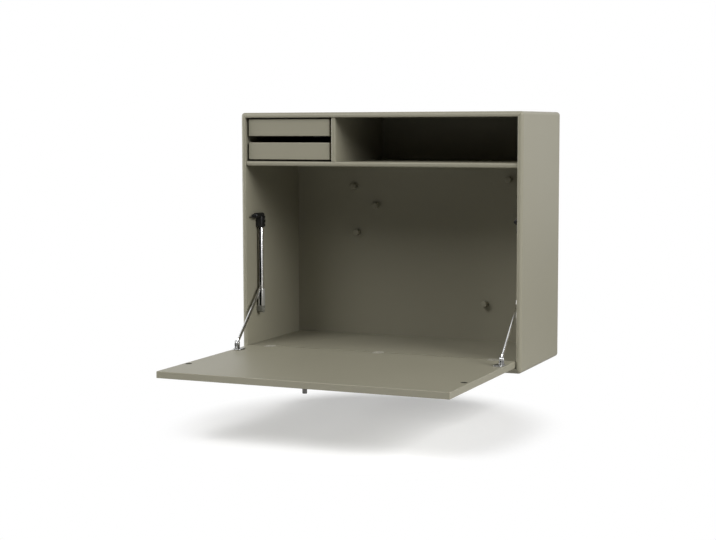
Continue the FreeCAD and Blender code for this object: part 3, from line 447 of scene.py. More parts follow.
def set_out(graph, inputs, shape, seed=None):
    """Stand a shape on every point, facing as the point says, spun at random where a seed is given."""
    name = {"Name": "facing"}
    facing = graph.add("GeometryNodeInputNamedAttribute", name, data_type="FLOAT_VECTOR")["Attribute"]
    turn = graph.add("FunctionNodeAlignRotationToVector", {"Vector": facing}, axis="Z")["Rotation"]
    if seed is not None:
        # Sockets share names here, so they go by number: least, most and seed
        values = {2: 0.0, 3: math.pi, 8: seed}
        angle = graph.add("FunctionNodeRandomValue", values, data_type="FLOAT")["Value"]
        euler = graph.add("ShaderNodeCombineXYZ", {"Z": angle})["Vector"]
        spin = graph.add("FunctionNodeEulerToRotation", {0: euler})["Rotation"]
        both = {0: turn, 1: spin}
        turn = graph.add("FunctionNodeRotateRotation", both, rotation_space="LOCAL")["Rotation"]
    values = {"Points": inputs["Geometry"], "Instance": shape, "Rotation": turn}
    stood = graph.add("GeometryNodeInstanceOnPoints", values)["Instances"]
    real = graph.add("GeometryNodeRealizeInstances", {0: stood})["Geometry"]
    painted = graph.add("GeometryNodeSetMaterial", {"Geometry": real, "Material": inputs["Material"]})
    graph.add("NodeGroupOutput", {0: painted["Geometry"]})
    return graph.tree


def screw_tree():
    """Countersunk screws with a cross recess."""
    sizes = {"Head radius": 3.2 * MM, "Head depth": 1.8 * MM, "Shank radius": 1.6 * MM, "Length": 11 * MM}
    graph, inputs, (head, depth, shank, length) = new_geometry_tree("Countersunk screws", sizes)
    stations = [
        (0.0, -length), (shank * 0.55, shank - length), (shank, shank * 2.5 - length), (shank, -depth),
        (head * 0.98, depth * -0.16), (head, depth * -0.08), (head * 0.95, depth * -0.01),
        (head * 0.5, depth * 0.03), (0.0, depth * 0.04),
    ]
    body = turned_rings(graph, stations, sides=24)
    blades = []
    for wide, deep in ((1.15, 0.24), (0.24, 1.15)):
        values = {"X": head * wide, "Y": head * deep, "Z": depth * 1.3}
        size = graph.add("ShaderNodeCombineXYZ", values)["Vector"]
        blades.append(graph.add("GeometryNodeMeshCube", {"Size": size})["Mesh"])
    meshes = {"Mesh 1": body, "Mesh 2": blades}
    shape = graph.add("GeometryNodeMeshBoolean", meshes, operation="DIFFERENCE", solver="EXACT")["Mesh"]
    return set_out(graph, inputs, shape, seed=4)


def rivet_tree():
    """Pins with a low domed head at each end, standing on the middle of their length."""
    sizes = {"Pin radius": 2 * MM, "Length": 8 * MM, "Head radius": 3.3 * MM, "Head height": 1.1 * MM}
    graph, inputs, (pin, length, head, rise) = new_geometry_tree("Riveted pins", sizes)
    half = length * 0.5
    dome = [(0.0, 1.0), (0.45, 0.94), (0.78, 0.70), (0.95, 0.36), (1.0, 0.0)]
    upper = [(head * share, half + rise * lift) for share, lift in reversed(dome)]
    lower = [(head * share, -half - rise * lift) for share, lift in dome]
    stations = [*lower, (pin, -half + rise * 0.02), (pin, half - rise * 0.02), *upper]
    return set_out(graph, inputs, turned_rings(graph, stations, sides=28))


def magnet_tree():
    """Memo magnets: a lacquered cap on a narrower foot, softly rounded on its face."""
    sizes = {"Radius": 7.5 * MM, "Height": 15 * MM, "Rounding": 1.4 * MM}
    graph, inputs, (radius, height, soft) = new_geometry_tree("Memo magnets", sizes)
    stations = [
        (radius * 0.80, 0.0), (radius * 0.82, soft * 0.4), (radius * 0.97, soft * 0.8),
        (radius, soft * 1.3), (radius, height - soft), (radius - soft * 0.13, height - soft * 0.5),
        (radius - soft * 0.5, height - soft * 0.13), (radius - soft, height - soft * 0.01), (0.0, height),
    ]
    return set_out(graph, inputs, turned_rings(graph, stations, sides=36))


def disc_tree():
    """Flat let-in discs with a turned rim and a shallow dish."""
    sizes = {"Radius": 7.5 * MM, "Thickness": 1.5 * MM}
    graph, inputs, (radius, thick) = new_geometry_tree("Let-in discs", sizes)
    stations = [
        (radius * 0.97, -thick), (radius, thick * -0.9), (radius, thick * -0.14),
        (radius * 0.97, thick * -0.02), (radius * 0.90, 0.0), (0.0, thick * 0.03),
    ]
    return set_out(graph, inputs, turned_rings(graph, stations, sides=48))


def tree_of(name, build):
    """A modifier tree by its name, built when it is first asked for."""
    return bpy.data.node_groups.get(name) or build()


def new_object(name, data):
    """An object in the scene."""
    item = bpy.data.objects.new(name, data)
    bpy.context.scene.collection.objects.link(item)
    return item


def stored(name, mesh):
    """A built mesh as mesh data."""
    data = bpy.data.meshes.new(name)
    mesh.to_mesh(data)
    mesh.free()
    return data


def repeated(node, tree, places, sizes, material, body, slot):
    """A finished piece of the tree's shapes stood on places, with the modifier gone."""
    name = f"{node}_made"
    points = bpy.data.meshes.new(f"{name}_places")
    points.from_pydata([place for place, *_ in places], [], [])
    facing = points.attributes.new("facing", "FLOAT_VECTOR", "POINT")
    facing.data.foreach_set("vector", [c for _, way, *_ in places for c in way])
    item = new_object(name, points)
    modifier = item.modifiers.new("Shapes", "NODES")
    modifier.node_group = tree
    values = {**sizes, "Material": material}
    for socket in tree.interface.items_tree:
        if socket.name in values:
            modifier[socket.identifier] = values[socket.name]
    graph = bpy.context.evaluated_depsgraph_get()
    made = bpy.data.meshes.new_from_object(item.evaluated_get(graph))
    item.modifiers.clear()
    item.data = made
    bpy.data.meshes.remove(points)
    made.name = name
    finish_piece(item, node, material, body, slot)


def finish_piece(item, node, material, body, slot):
    """Shade a piece, give it its material and set it on a body in place of a CAD node."""
    mesh = item.data
    mesh.materials.clear()
    mesh.materials.append(material)
    mesh.polygons.foreach_set("use_smooth", [True] * len(mesh.polygons))
    mesh.set_sharp_from_angle(angle=SMOOTH_ANGLE)
    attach(item, body)
    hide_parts(node)


def shaped_piece(node, parts, *finish):
    """A finished piece from (mesh, matrix) pairs."""
    name = f"{node}_made"
    whole = bmesh.new()
    for mesh, matrix in parts:
        bmesh.ops.transform(mesh, matrix=matrix, verts=mesh.verts)
        spare = stored("spare", mesh)
        whole.from_mesh(spare)
        bpy.data.meshes.remove(spare)
    bmesh.ops.recalc_face_normals(whole, faces=whole.faces)
    finish_piece(new_object(name, stored(name, whole)), node, *finish)


def profile(scale, foot, face=(), length=0.0):
    """Stations of a turned shape from tables of its radius and its distance from either end, in mm."""
    low = [(radius * scale, far * MM) for radius, far in foot]
    return low + [(radius * scale, length - far * MM) for radius, far in face]


def turned(stations, sides=48):
    """A shape turned round Z from (radius, height) stations."""
    mesh = bmesh.new()
    rings = []
    for radius, height in stations:
        count = sides if radius > 0 else 1
        angles = [2 * math.pi * n / count for n in range(count)]
        rings.append([mesh.verts.new((radius * math.cos(a), radius * math.sin(a), height)) for a in angles])
    for low, high in zip(rings, rings[1:]):
        for n in range(sides):
            bottom = [low[step % len(low)] for step in (n, n + 1)]
            top = [high[step % len(high)] for step in (n + 1, n)]
            mesh.faces.new(list(dict.fromkeys(bottom + top)))
    bmesh.ops.recalc_face_normals(mesh, faces=mesh.faces)
    return mesh


def slab(outline, thickness, soften, steps=3):
    """An outline in X and Y, thickened evenly along Z, with its rims softened."""
    mesh = bmesh.new()
    face = mesh.faces.new([mesh.verts.new((x, y, -thickness / 2)) for x, y in outline])
    grown = bmesh.ops.extrude_face_region(mesh, geom=[face])["geom"]
    lifted = [item for item in grown if isinstance(item, bmesh.types.BMVert)]
    bmesh.ops.translate(mesh, verts=lifted, vec=(0, 0, thickness))
    bmesh.ops.recalc_face_normals(mesh, faces=mesh.faces)
    rims = [edge for edge in mesh.edges if abs(edge.verts[0].co.z - edge.verts[1].co.z) < thickness / 2]
    bmesh.ops.bevel(
        mesh, geom=rims, offset=soften, offset_type="OFFSET", segments=steps, profile=0.5, affect="EDGES"
    )
    return mesh


def arc(middle, radius, start, end, steps):
    """Points along an arc, between two angles in degrees."""
    x, y = middle
    angles = [math.radians(start + (end - start) * step / steps) for step in range(steps + 1)]
    return [(x + radius * math.cos(angle), y + radius * math.sin(angle)) for angle in angles]


def rounded_outline(width, height, radii, steps=8):
    """A rectangle round the origin with its own radius at each corner, anticlockwise from the right top."""
    points = []
    signs = ((1, 1), (-1, 1), (-1, -1), (1, -1))
    for n, ((x, y), radius) in enumerate(zip(signs, radii)):
        middle = (x * (width / 2 - radius), y * (height / 2 - radius))
        points += arc(middle, radius, 90 * n, 90 * (n + 1), steps)
    return points


def axes(origin, x, y, z):
    """A matrix that puts a shape's own axes along three given ways."""
    return Matrix.Translation(origin) @ Matrix((x, y, z)).transposed().to_4x4()


def arm_pivot(side):
    """Where a stay arm turns on its flap lug."""
    joint = next(joint for joint in frame["joints"] if joint["name"] == f"{side}_arm_pivot")
    return Vector(joint["pos_m"])


def setting(make, **fixed):
    """A kind of setting, which takes its name, its description and its default."""
    return lambda name, about, default: make(name=name, description=about, default=default, **fixed)


Colour = setting(FloatVectorProperty, subtype="COLOR", min=0, max=1)
Place = setting(FloatVectorProperty, subtype="TRANSLATION", unit="LENGTH")
Share = setting(FloatProperty, subtype="FACTOR", min=0, max=1)
Length = setting(FloatProperty, unit="LENGTH", precision=6)
Angle = setting(FloatProperty, subtype="ANGLE")
Power = setting(FloatProperty, unit="POWER", min=0)


class LacquerLook(bpy.types.PropertyGroup):
    """The sprayed lacquer on boards, trays and magnets."""

    colour: Colour("Colour", "Olive grey of the lacquer", (0.262, 0.248, 0.188))
    roughness: Share("Roughness", "Mean roughness of the satin sheen", 0.44)
    gloss: Share("Gloss", "Strength of the sheen seen head on", 0.3)
    cloud_size: Length("Cloud size", "Width of the soft clouds in the colour", 0.22)
    ripple_size: Length("Ripple size", "Width of the sprayed ripple", 0.0024)
    ripple_depth: Length("Ripple depth", "Depth of the sprayed ripple", 0.000025)
    nib_spacing: Length("Nib spacing", "Distance between dust nibs in the lacquer", 0.05)


class MetalLook(bpy.types.PropertyGroup):
    """The plated stays, hinges and fixings, the knob, and the wood of the hidden joinery."""

    chrome: Colour("Chrome", "Colour of the bright stays", (0.86, 0.86, 0.87))
    chrome_roughness: Share("Chrome roughness", "Roughness of the arms and rivets", 0.14)
    tube_roughness: Share("Tube roughness", "Roughness of the drawn stay tubes", 0.27)
    sleeve: Colour("Sleeve", "Colour of the sleeves low on the stays", (0.50, 0.495, 0.47))
    sleeve_roughness: Share("Sleeve roughness", "Roughness of the sleeves and lugs", 0.34)
    sleeve_metallic: Share("Sleeve metal", "How metallic the sleeves look", 0.5)
    lug: Colour("Lug", "Colour of the cast lugs on the flap", (0.36, 0.36, 0.355))
    hinge: Colour("Hinge", "Colour of the brushed hinge leaves", (0.50, 0.485, 0.42))
    hinge_metallic: Share("Hinge metal", "How metallic the hinge leaves look", 0.3)
    nickel: Colour("Nickel", "Colour of the screws that show", (0.62, 0.60, 0.56))
    nickel_roughness: Share("Nickel roughness", "Roughness of hinges and screws", 0.34)
    zinc: Colour("Zinc", "Colour of plates and hidden screws", (0.50, 0.50, 0.50))
    strike: Colour("Strike", "Colour of the strike discs", (0.045, 0.043, 0.038))
    strike_roughness: Share("Strike roughness", "Roughness of the strike discs", 0.5)
    knob: Colour("Knob", "Colour of the turned knob", (0.16, 0.157, 0.15))
    knob_roughness: Share("Knob roughness", "Roughness of the turned knob", 0.4)
    beech: Colour("Beech", "Colour of dowels and splines", (0.60, 0.43, 0.27))
    smear_size: Length("Smear size", "Width of handling smears", 0.018)
    smear_spread: Share("Smear spread", "Roughness that a smear adds", 0.07)
    streak_spread: Share("Streak spread", "Roughness that streaks add", 0.10)
    streak_depth: Length("Streak depth", "Depth of the drawn streaks", 0.000008)


class PlasticLook(bpy.types.PropertyGroup):
    """The moulded stay heads, feet and tray runners."""

    black: Colour("Black", "Colour of the stay heads and their magnets", (0.006, 0.006, 0.0065))
    black_roughness: Share("Black roughness", "Roughness of the stay heads", 0.42)
    grey: Colour("Grey", "Colour of feet and carriages", (0.15, 0.147, 0.125))
    grey_roughness: Share("Grey roughness", "Roughness of feet and carriages", 0.48)
    runner: Colour("Runner", "Colour of the tray runners", (0.05, 0.05, 0.045))
    runner_roughness: Share("Runner roughness", "Roughness of the tray runners", 0.5)


class StageLook(bpy.types.PropertyGroup):
    """The camera, the lamps and the floor."""

    lens: FloatProperty(
        name="Lens", description="Focal length on a 36 mm sensor", subtype="DISTANCE_CAMERA", default=75.984
    )
    eye: Place("Eye", "Where the camera stands", (1.340802, -3.485662, 0.008863))
    yaw: Angle("Yaw", "Turn to the left", math.radians(23.5075))
    pitch: Angle("Pitch", "Tilt downwards", math.radians(5.4205))
    roll: Angle("Roll", "Tilt of the frame", math.radians(-0.1359))
    floor: Length("Floor", "Height of the floor", -0.67)
    key: Power("Key lamp", "Power of the lamp at the right", 240.0)
    front: Power("Front lamp", "Power of the lamp left of the front", 130.0)
    left: Power("Left lamp", "Power of the low lamp at the left", 150.0)
    fill: Share("Fill", "Strength of the light from all round", 0.02)
    lamp_away: Length("Lamp distance", "From the desk to each lamp", 5.0)
    lamp_aim: Place("Lamp aim", "Where each lamp points", (0.0, -0.35, -0.30))


class FinishCarcass(bpy.types.Operator):
    """Lacquer the four mitred panels"""

    bl_idname = "desk.finish_carcass"
    bl_label = "Carcass"

    def execute(self, context):
        low, high = CAD_BOX
        mitres = ((high.x - low.x) / 2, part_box("bottom_panel")[0].z, high.z)
        look = context.scene.desk_lacquer
        dress(CARCASS, material_of("mitred lacquer", satin_lacquer, look, mitres))
        return {"FINISHED"}


class FinishBoards(bpy.types.Operator):
    """Lacquer the back, the shelf, the divider, the floor board, the flap and the steel sheet"""

    bl_idname = "desk.finish_boards"
    bl_label = "Inner boards and flap"

    def execute(self, context):
        dress(BOARDS, finish_of("satin lacquer"))
        return {"FINISHED"}


class FinishTrays(bpy.types.Operator):
    """Lacquer both trays and blacken their runners"""

    bl_idname = "desk.finish_trays"
    bl_label = "Trays and runners"

    def execute(self, context):
        trays = [f"{level}_tray_{part}" for level in ("upper", "lower") for part in TRAY_PARTS]
        dress(trays, finish_of("satin lacquer"))
        dress(("left_tray_runners", "right_tray_runners"), finish_of("runner nylon"))
        return {"FINISHED"}


class FinishJoinery(bpy.types.Operator):
    """Give dowels and splines their wood, and plates and studs their zinc"""

    bl_idname = "desk.finish_joinery"
    bl_label = "Hidden joinery"

    def execute(self, context):
        dress(("mitre_splines", "shelf_dowels", "divider_dowels"), finish_of("beech"))
        dress(("wall_fixing_plates", "knob_stud"), finish_of("zinc plate"))
        return {"FINISHED"}


class FinishHinges(bpy.types.Operator):
    """Give the hinge leaves and pins their brushed metal"""

    bl_idname = "desk.finish_hinges"
    bl_label = "Hinges"

    def execute(self, context):
        leaves = [f"{hinge}_{board}_leaf" for hinge in HINGES for board in ("floor", "flap")]
        dress([*leaves, "hinge_pins"], finish_of("brushed hinge"))
        return {"FINISHED"}


class MakeTubes(bpy.types.Operator):
    """Draw the slotted stay tubes and square-shouldered sleeves, and colour the carriages in them"""

    bl_idname = "desk.make_tubes"
    bl_label = "Stay tubes"

    # Each part's bore, half the width of its slot, and its outline's power: 2 is round and more is squarer
    SECTIONS = {"tube": (4.5 * MM, 2.5 * MM, 2.0), "sleeve": (5.55 * MM, 2.8 * MM, 5.0)}
    SECTION_STEPS = 48
    RIM = 0.2 * MM
    # How far past the bore the painted shade reaches
    SHADE_MARGIN = 0.25 * MM

    def execute(self, context):
        look = context.scene.desk_metal
        platings = {
            "tube": (look.chrome, look.tube_roughness, 1.0),
            "sleeve": (look.sleeve, look.sleeve_roughness, look.sleeve_metallic),
        }
        for side in SIDES:
            for part, (bore, half_slot, power) in self.SECTIONS.items():
                name = f"{side}_stay_{part}"
                low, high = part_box(name)
                middle = (low + high) / 2
                outside = self.ring((high.x - low.x) / 2, half_slot, power)
                inside = self.ring(bore, half_slot, 2.0)
                tube = slab(outside + inside[::-1], high.z - low.z, self.RIM, 2)
                axis = (abs(middle.x), middle.y)
                finish = (*platings[part], axis, bore + self.SHADE_MARGIN)
                # The bores of the tubes and sleeves get painted shade
                drawn = material_of(f"lined {part}", tube_with_bore_shade, look, *finish)
                shaped_piece(name, [(tube, Matrix.Translation(middle))], drawn, "cabinet", "chrome")
        dress([f"{side}_stay_carriage" for side in SIDES], finish_of("grey moulding"))
        return {"FINISHED"}

    def ring(self, radius, half_slot, power):
        """A ring of points that leaves a slot open towards -Y."""
        gap = math.asin(half_slot / radius)
        points = []
        for step in range(self.SECTION_STEPS + 1):
            angle = gap - math.pi / 2 + 2 * (math.pi - gap) * step / self.SECTION_STEPS
            x, y = math.cos(angle), math.sin(angle)
            far = radius / (abs(x) ** power + abs(y) ** power) ** (1 / power)
            points.append((far * x, far * y))
        return points


class MakeScrews(bpy.types.Operator):
    """Set a cross-head screw in every screw hole"""

    bl_idname = "desk.make_screws"
    bl_label = "Screws"

    def execute(self, context):
        nickel = finish_of("satin nickel")
        zinc = finish_of("zinc plate")
        tree = tree_of("Countersunk screws", screw_tree)
        groups = {
            "hinge_floor_screws": (nickel, "cabinet", "nickel"),
            "hinge_flap_screws": (nickel, "flap", "nickel"),
            "lug_screws": (nickel, "flap", "nickel"),
            "stay_screws": (nickel, "cabinet", "zinc"),
            "runner_screws": (zinc, "cabinet", "zinc"),
            "floor_board_screws": (zinc, "cabinet", "zinc"),
        }
        for node, finish in groups.items():
            places = end_places(node)
            repeated(node, tree, places, {"Length": places[0][2]}, *finish)
        return {"FINISHED"}


class MakeMagnets(bpy.types.Operator):
    """Stand the memo magnets on the steel sheet and blacken the catch magnets in the stay heads"""

    bl_idname = "desk.make_magnets"
    bl_label = "Magnets"

    def execute(self, context):
        places, size = seats("memo_magnets", 1, (0, -1, 0))
        sizes = {"Radius": size.x / 2, "Height": size.y}
        finish = (finish_of("satin lacquer"), "cabinet", "magnet_caps")
        repeated("memo_magnets", tree_of("Memo magnets", magnet_tree), places, sizes, *finish)
        dress(("catch_magnets",), finish_of("black moulding"))
        return {"FINISHED"}


class MakeStrikes(bpy.types.Operator):
    """Let the two strike discs into the flap"""

    bl_idname = "desk.make_strikes"
    bl_label = "Strike discs"

    RING_PITCH = 0.8 * MM

    def execute(self, context):
        places, size = seats("strike_discs", 2, (0, 0, 1))
        look = context.scene.desk_metal
        centre = (abs(places[0][0].x), places[0][0].y)
        finish = (look.strike, look.strike_roughness, centre, self.RING_PITCH, {"Specular IOR Level": 0.0})
        steel = material_of("dark turned steel", turned_steel, *finish)
        sizes = {"Radius": size.x / 2, "Thickness": size.z}
        tree = tree_of("Let-in discs", disc_tree)
        repeated("strike_discs", tree, places, sizes, steel, "flap", "dark_steel")
        return {"FINISHED"}


class MakeStayHeads(bpy.types.Operator):
    """Mould the black stay heads, each a neck on the side panel under a round boss"""

    bl_idname = "desk.make_stay_heads"
    bl_label = "Stay heads"

    BOSS_RADIUS, BOSS_INWARD = 6.5 * MM, 9 * MM
    NECK_WIDTH, NECK_DEPTH = 16.8 * MM, 21 * MM
    NECK_CORNER, NECK_RIM = 2.5 * MM, 1.8 * MM
    NECK_BELOW_BOSS, COLLAR_DROP = 2 * MM, 2 * MM

    # Radius and distance from an end, in mm: the boss's back, its front with a pocket, and the collar
    BACK = ((0, 0), (3.2, 0.25), (5.1, 1.2), (6.1, 2.7), (6.5, 5))
    FRONT = ((6.5, 3.4), (6.2, 1.8), (5.5, 0.6), (4.4, 0), (3.06, 0), (3.06, 6), (0, 6))
    COLLAR = ((5.6, 0), (6.6, 0.2), (7.1, 1), (7.1, 4), (5.6, 4), (5.6, 0))

    def execute(self, context):
        black = finish_of("black moulding")
        for side, sign in SIDES.items():
            name = f"{side}_stay_head"
            low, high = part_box(name)
            wall = low.x if sign < 0 else high.x
            stations = profile(MM, self.BACK, self.FRONT, high.y - low.y)
            boss_z = high.z - self.BOSS_RADIUS
            at = (wall - sign * self.BOSS_INWARD, high.y, boss_z)
            boss = (turned(stations, sides=56), axes(at, (1, 0, 0), (0, 0, 1), (0, -1, 0)))
            tall = boss_z - self.NECK_BELOW_BOSS - low.z
            outline = rounded_outline(self.NECK_WIDTH, self.NECK_DEPTH, (self.NECK_CORNER,) * 4)
            at = (wall - sign * self.NECK_WIDTH / 2, high.y - self.NECK_DEPTH / 2, low.z + tall / 2)
            neck = (slab(outline, tall, self.NECK_RIM), Matrix.Translation(at))
            tube_low, tube_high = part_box(f"{side}_stay_tube")
            tube = (tube_low + tube_high) / 2
            at = (tube.x, tube.y, low.z - self.COLLAR_DROP)
            collar = (turned(profile(MM, self.COLLAR)), Matrix.Translation(at))
            shaped_piece(name, (boss, neck, collar), black, "cabinet", "black_plastic")
        return {"FINISHED"}


class MakeStayFeet(bpy.types.Operator):
    """Mould the round-ended feet that carry the tubes"""

    bl_idname = "desk.make_stay_feet"
    bl_label = "Stay feet"

    TOP_ROUND = 1.6 * MM
    BOTTOM_ROUND_SHARE = 0.46
    RIM = 0.8 * MM

    def execute(self, context):
        grey_plastic = finish_of("grey moulding")
        for side in SIDES:
            name = f"{side}_stay_foot"
            low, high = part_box(name)
            size = high - low
            bottom = size.y * self.BOTTOM_ROUND_SHARE
            outline = rounded_outline(size.y, size.z, (self.TOP_ROUND, self.TOP_ROUND, bottom, bottom))
            foot = (slab(outline, size.x, self.RIM), axes((low + high) / 2, *ON_EDGE))
            shaped_piece(name, [foot], grey_plastic, "cabinet", "grey_plastic")
        return {"FINISHED"}


class MakeStayArms(bpy.types.Operator):
    """Press the flat stay arms, with an eye at the flap and a round tip in the tube"""

    bl_idname = "desk.make_stay_arms"
    bl_label = "Stay arms"

    EYE_RADIUS, TIP_RADIUS = 5.5 * MM, 4 * MM
    WIDTH, RIM = 9.4 * MM, 0.55 * MM

    # How far the eye and the tip go round, in degrees, and over how many radii each eases into the bar
    EYE_TURN, TIP_TURN, EASE_RUN = 148, 125, 1.2

    def execute(self, context):
        chrome = finish_of("bright chrome")
        sideways = Vector((1, 0, 0))
        for side in SIDES:
            name = f"{side}_stay_arm"
            pivot = arm_pivot(side)
            low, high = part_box(name)
            reach = Vector((0, high.y - self.TIP_RADIUS - pivot.y, high.z - self.TIP_RADIUS - pivot.z))
            bar = slab(self.outline(reach.length), high.x - low.x, self.RIM)
            along = reach.normalized()
            matrix = axes(pivot, along, sideways.cross(along), sideways)
            shaped_piece(name, [(bar, matrix)], chrome, f"{side}_arm", "chrome")
        return {"FINISHED"}

    def outline(self, length):
        """A bar's outline with a round eye and tip, eased into the bar."""
        eye, tip, half = self.EYE_RADIUS, self.TIP_RADIUS, self.WIDTH / 2

        def ease(share):
            return share * share * (3 - 2 * share)

        upper = arc((0, 0), eye, 180, 180 - self.EYE_TURN, 14)
        x, y = upper[-1]
        for share in (0.35, 0.7, 1.0):
            upper.append((x + share * eye * self.EASE_RUN, y + ease(share) * (half - y)))
        end = arc((length, 0), tip, self.TIP_TURN, 0, 12)
        x, y = end[0]
        for share in (0.0, 0.35, 0.7):
            upper.append((x - (1 - share) * tip * self.EASE_RUN, half + ease(share) * (y - half)))
        upper += end
        lower = [(x, -y) for x, y in upper[1:-1]]
        return upper[::-1] + lower


class MakeFlapLugs(bpy.types.Operator):
    """Make the forked lugs on the flap and rivet their pins"""

    bl_idname = "desk.make_flap_lugs"
    bl_label = "Flap lugs"

    BASE_THICK, BASE_CORNER, BASE_RIM = 2.5 * MM, 8 * MM, 0.7 * MM

    # Two cheeks beside the slot, which flare out below their neck
    SLOT, CHEEK, CHEEK_HALF, CHEEK_RIM = 3.2 * MM, 2.4 * MM, 6 * MM, 0.45 * MM
    CHEEK_FOOT, CHEEK_NECK, CHEEK_FLARE = 1.2 * MM, 4.5 * MM, 1.25

    # The filler closes the slot below the arm's eye
    FILLER_DROP, FILLER_LAP, FILLER_SHARE = 5.9 * MM, 1 * MM, 1.9
    FILLER_CORNER, FILLER_RIM = 0.4 * MM, 0.2 * MM

    def execute(self, context):
        chrome = finish_of("bright chrome")
        cast = finish_of("cast lug")
        pins = []
        for side in SIDES:
            name = f"{side}_flap_lug"
            pivot = arm_pivot(side)
            low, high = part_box(name)
            outline = rounded_outline(high.x - low.x, high.y - low.y, (self.BASE_CORNER,) * 4, 12)
            at = ((low.x + high.x) / 2, pivot.y, low.z + self.BASE_THICK / 2)
            parts = [(slab(outline, self.BASE_THICK, self.BASE_RIM), Matrix.Translation(at))]
            rise = high.z - low.z - self.CHEEK_HALF
            outline = self.cheek(rise)
            for sign in SIDES.values():
                at = (pivot.x + sign * (self.SLOT + self.CHEEK) / 2, pivot.y, low.z)
                parts.append((slab(outline, self.CHEEK, self.CHEEK_RIM), axes(at, *ON_EDGE)))
            tall = rise - self.FILLER_DROP - self.CHEEK_FOOT
            wide = self.CHEEK_HALF * self.FILLER_SHARE
            outline = rounded_outline(wide, tall, (self.FILLER_CORNER,) * 4, 3)
            at = (pivot.x, pivot.y, low.z + self.CHEEK_FOOT + tall / 2)
            parts.append((slab(outline, self.SLOT + self.FILLER_LAP, self.FILLER_RIM), axes(at, *ON_EDGE)))
            shaped_piece(name, parts, cast, "flap", "chrome")
            pins.append((pivot, Vector((1, 0, 0))))
        low, high = corners(islands("lug_pins")[0])
        tree = tree_of("Riveted pins", rivet_tree)
        repeated("lug_pins", tree, pins, {"Length": high.x - low.x}, chrome, "flap", "chrome")
        return {"FINISHED"}

    def cheek(self, rise):
        """A cheek's outline, round at the top and flared at the foot."""
        half = self.CHEEK_HALF
        right = [(half * self.CHEEK_FLARE, self.CHEEK_FOOT), (half, self.CHEEK_NECK)]
        return right + arc((0, rise), half, 0, 180, 16) + [(-x, y) for x, y in reversed(right)]


class MakeKnob(bpy.types.Operator):
    """Turn the flap's knob"""

    bl_idname = "desk.make_knob"
    bl_label = "Knob"

    RING_PITCH = 0.9 * MM

    # Share of the radius and distance from an end, in mm: the knob's foot and its dished face
    FOOT = ((0, 0), (0.90, 0), (0.90, 0.8), (1, 1.1))
    FACE = ((1, 1.3), (0.97, 0.6), (0.88, 0.15), (0.75, 0), (0.2, 0.2), (0, 0.2))

    def execute(self, context):
        low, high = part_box("flap_knob")
        middle = (low + high) / 2
        stations = profile((high.x - low.x) / 2, self.FOOT, self.FACE, high.z - low.z)
        hanging = axes((middle.x, middle.y, high.z), (1, 0, 0), (0, -1, 0), (0, 0, -1))
        look = context.scene.desk_metal
        finish = (look.knob, look.knob_roughness, (middle.x, middle.y), self.RING_PITCH, {"Metallic": 0.85})
        steel = material_of("turned steel", turned_steel, *finish)
        shaped_piece("flap_knob", [(turned(stations, sides=56), hanging)], steel, "flap", "nickel")
        return {"FINISHED"}


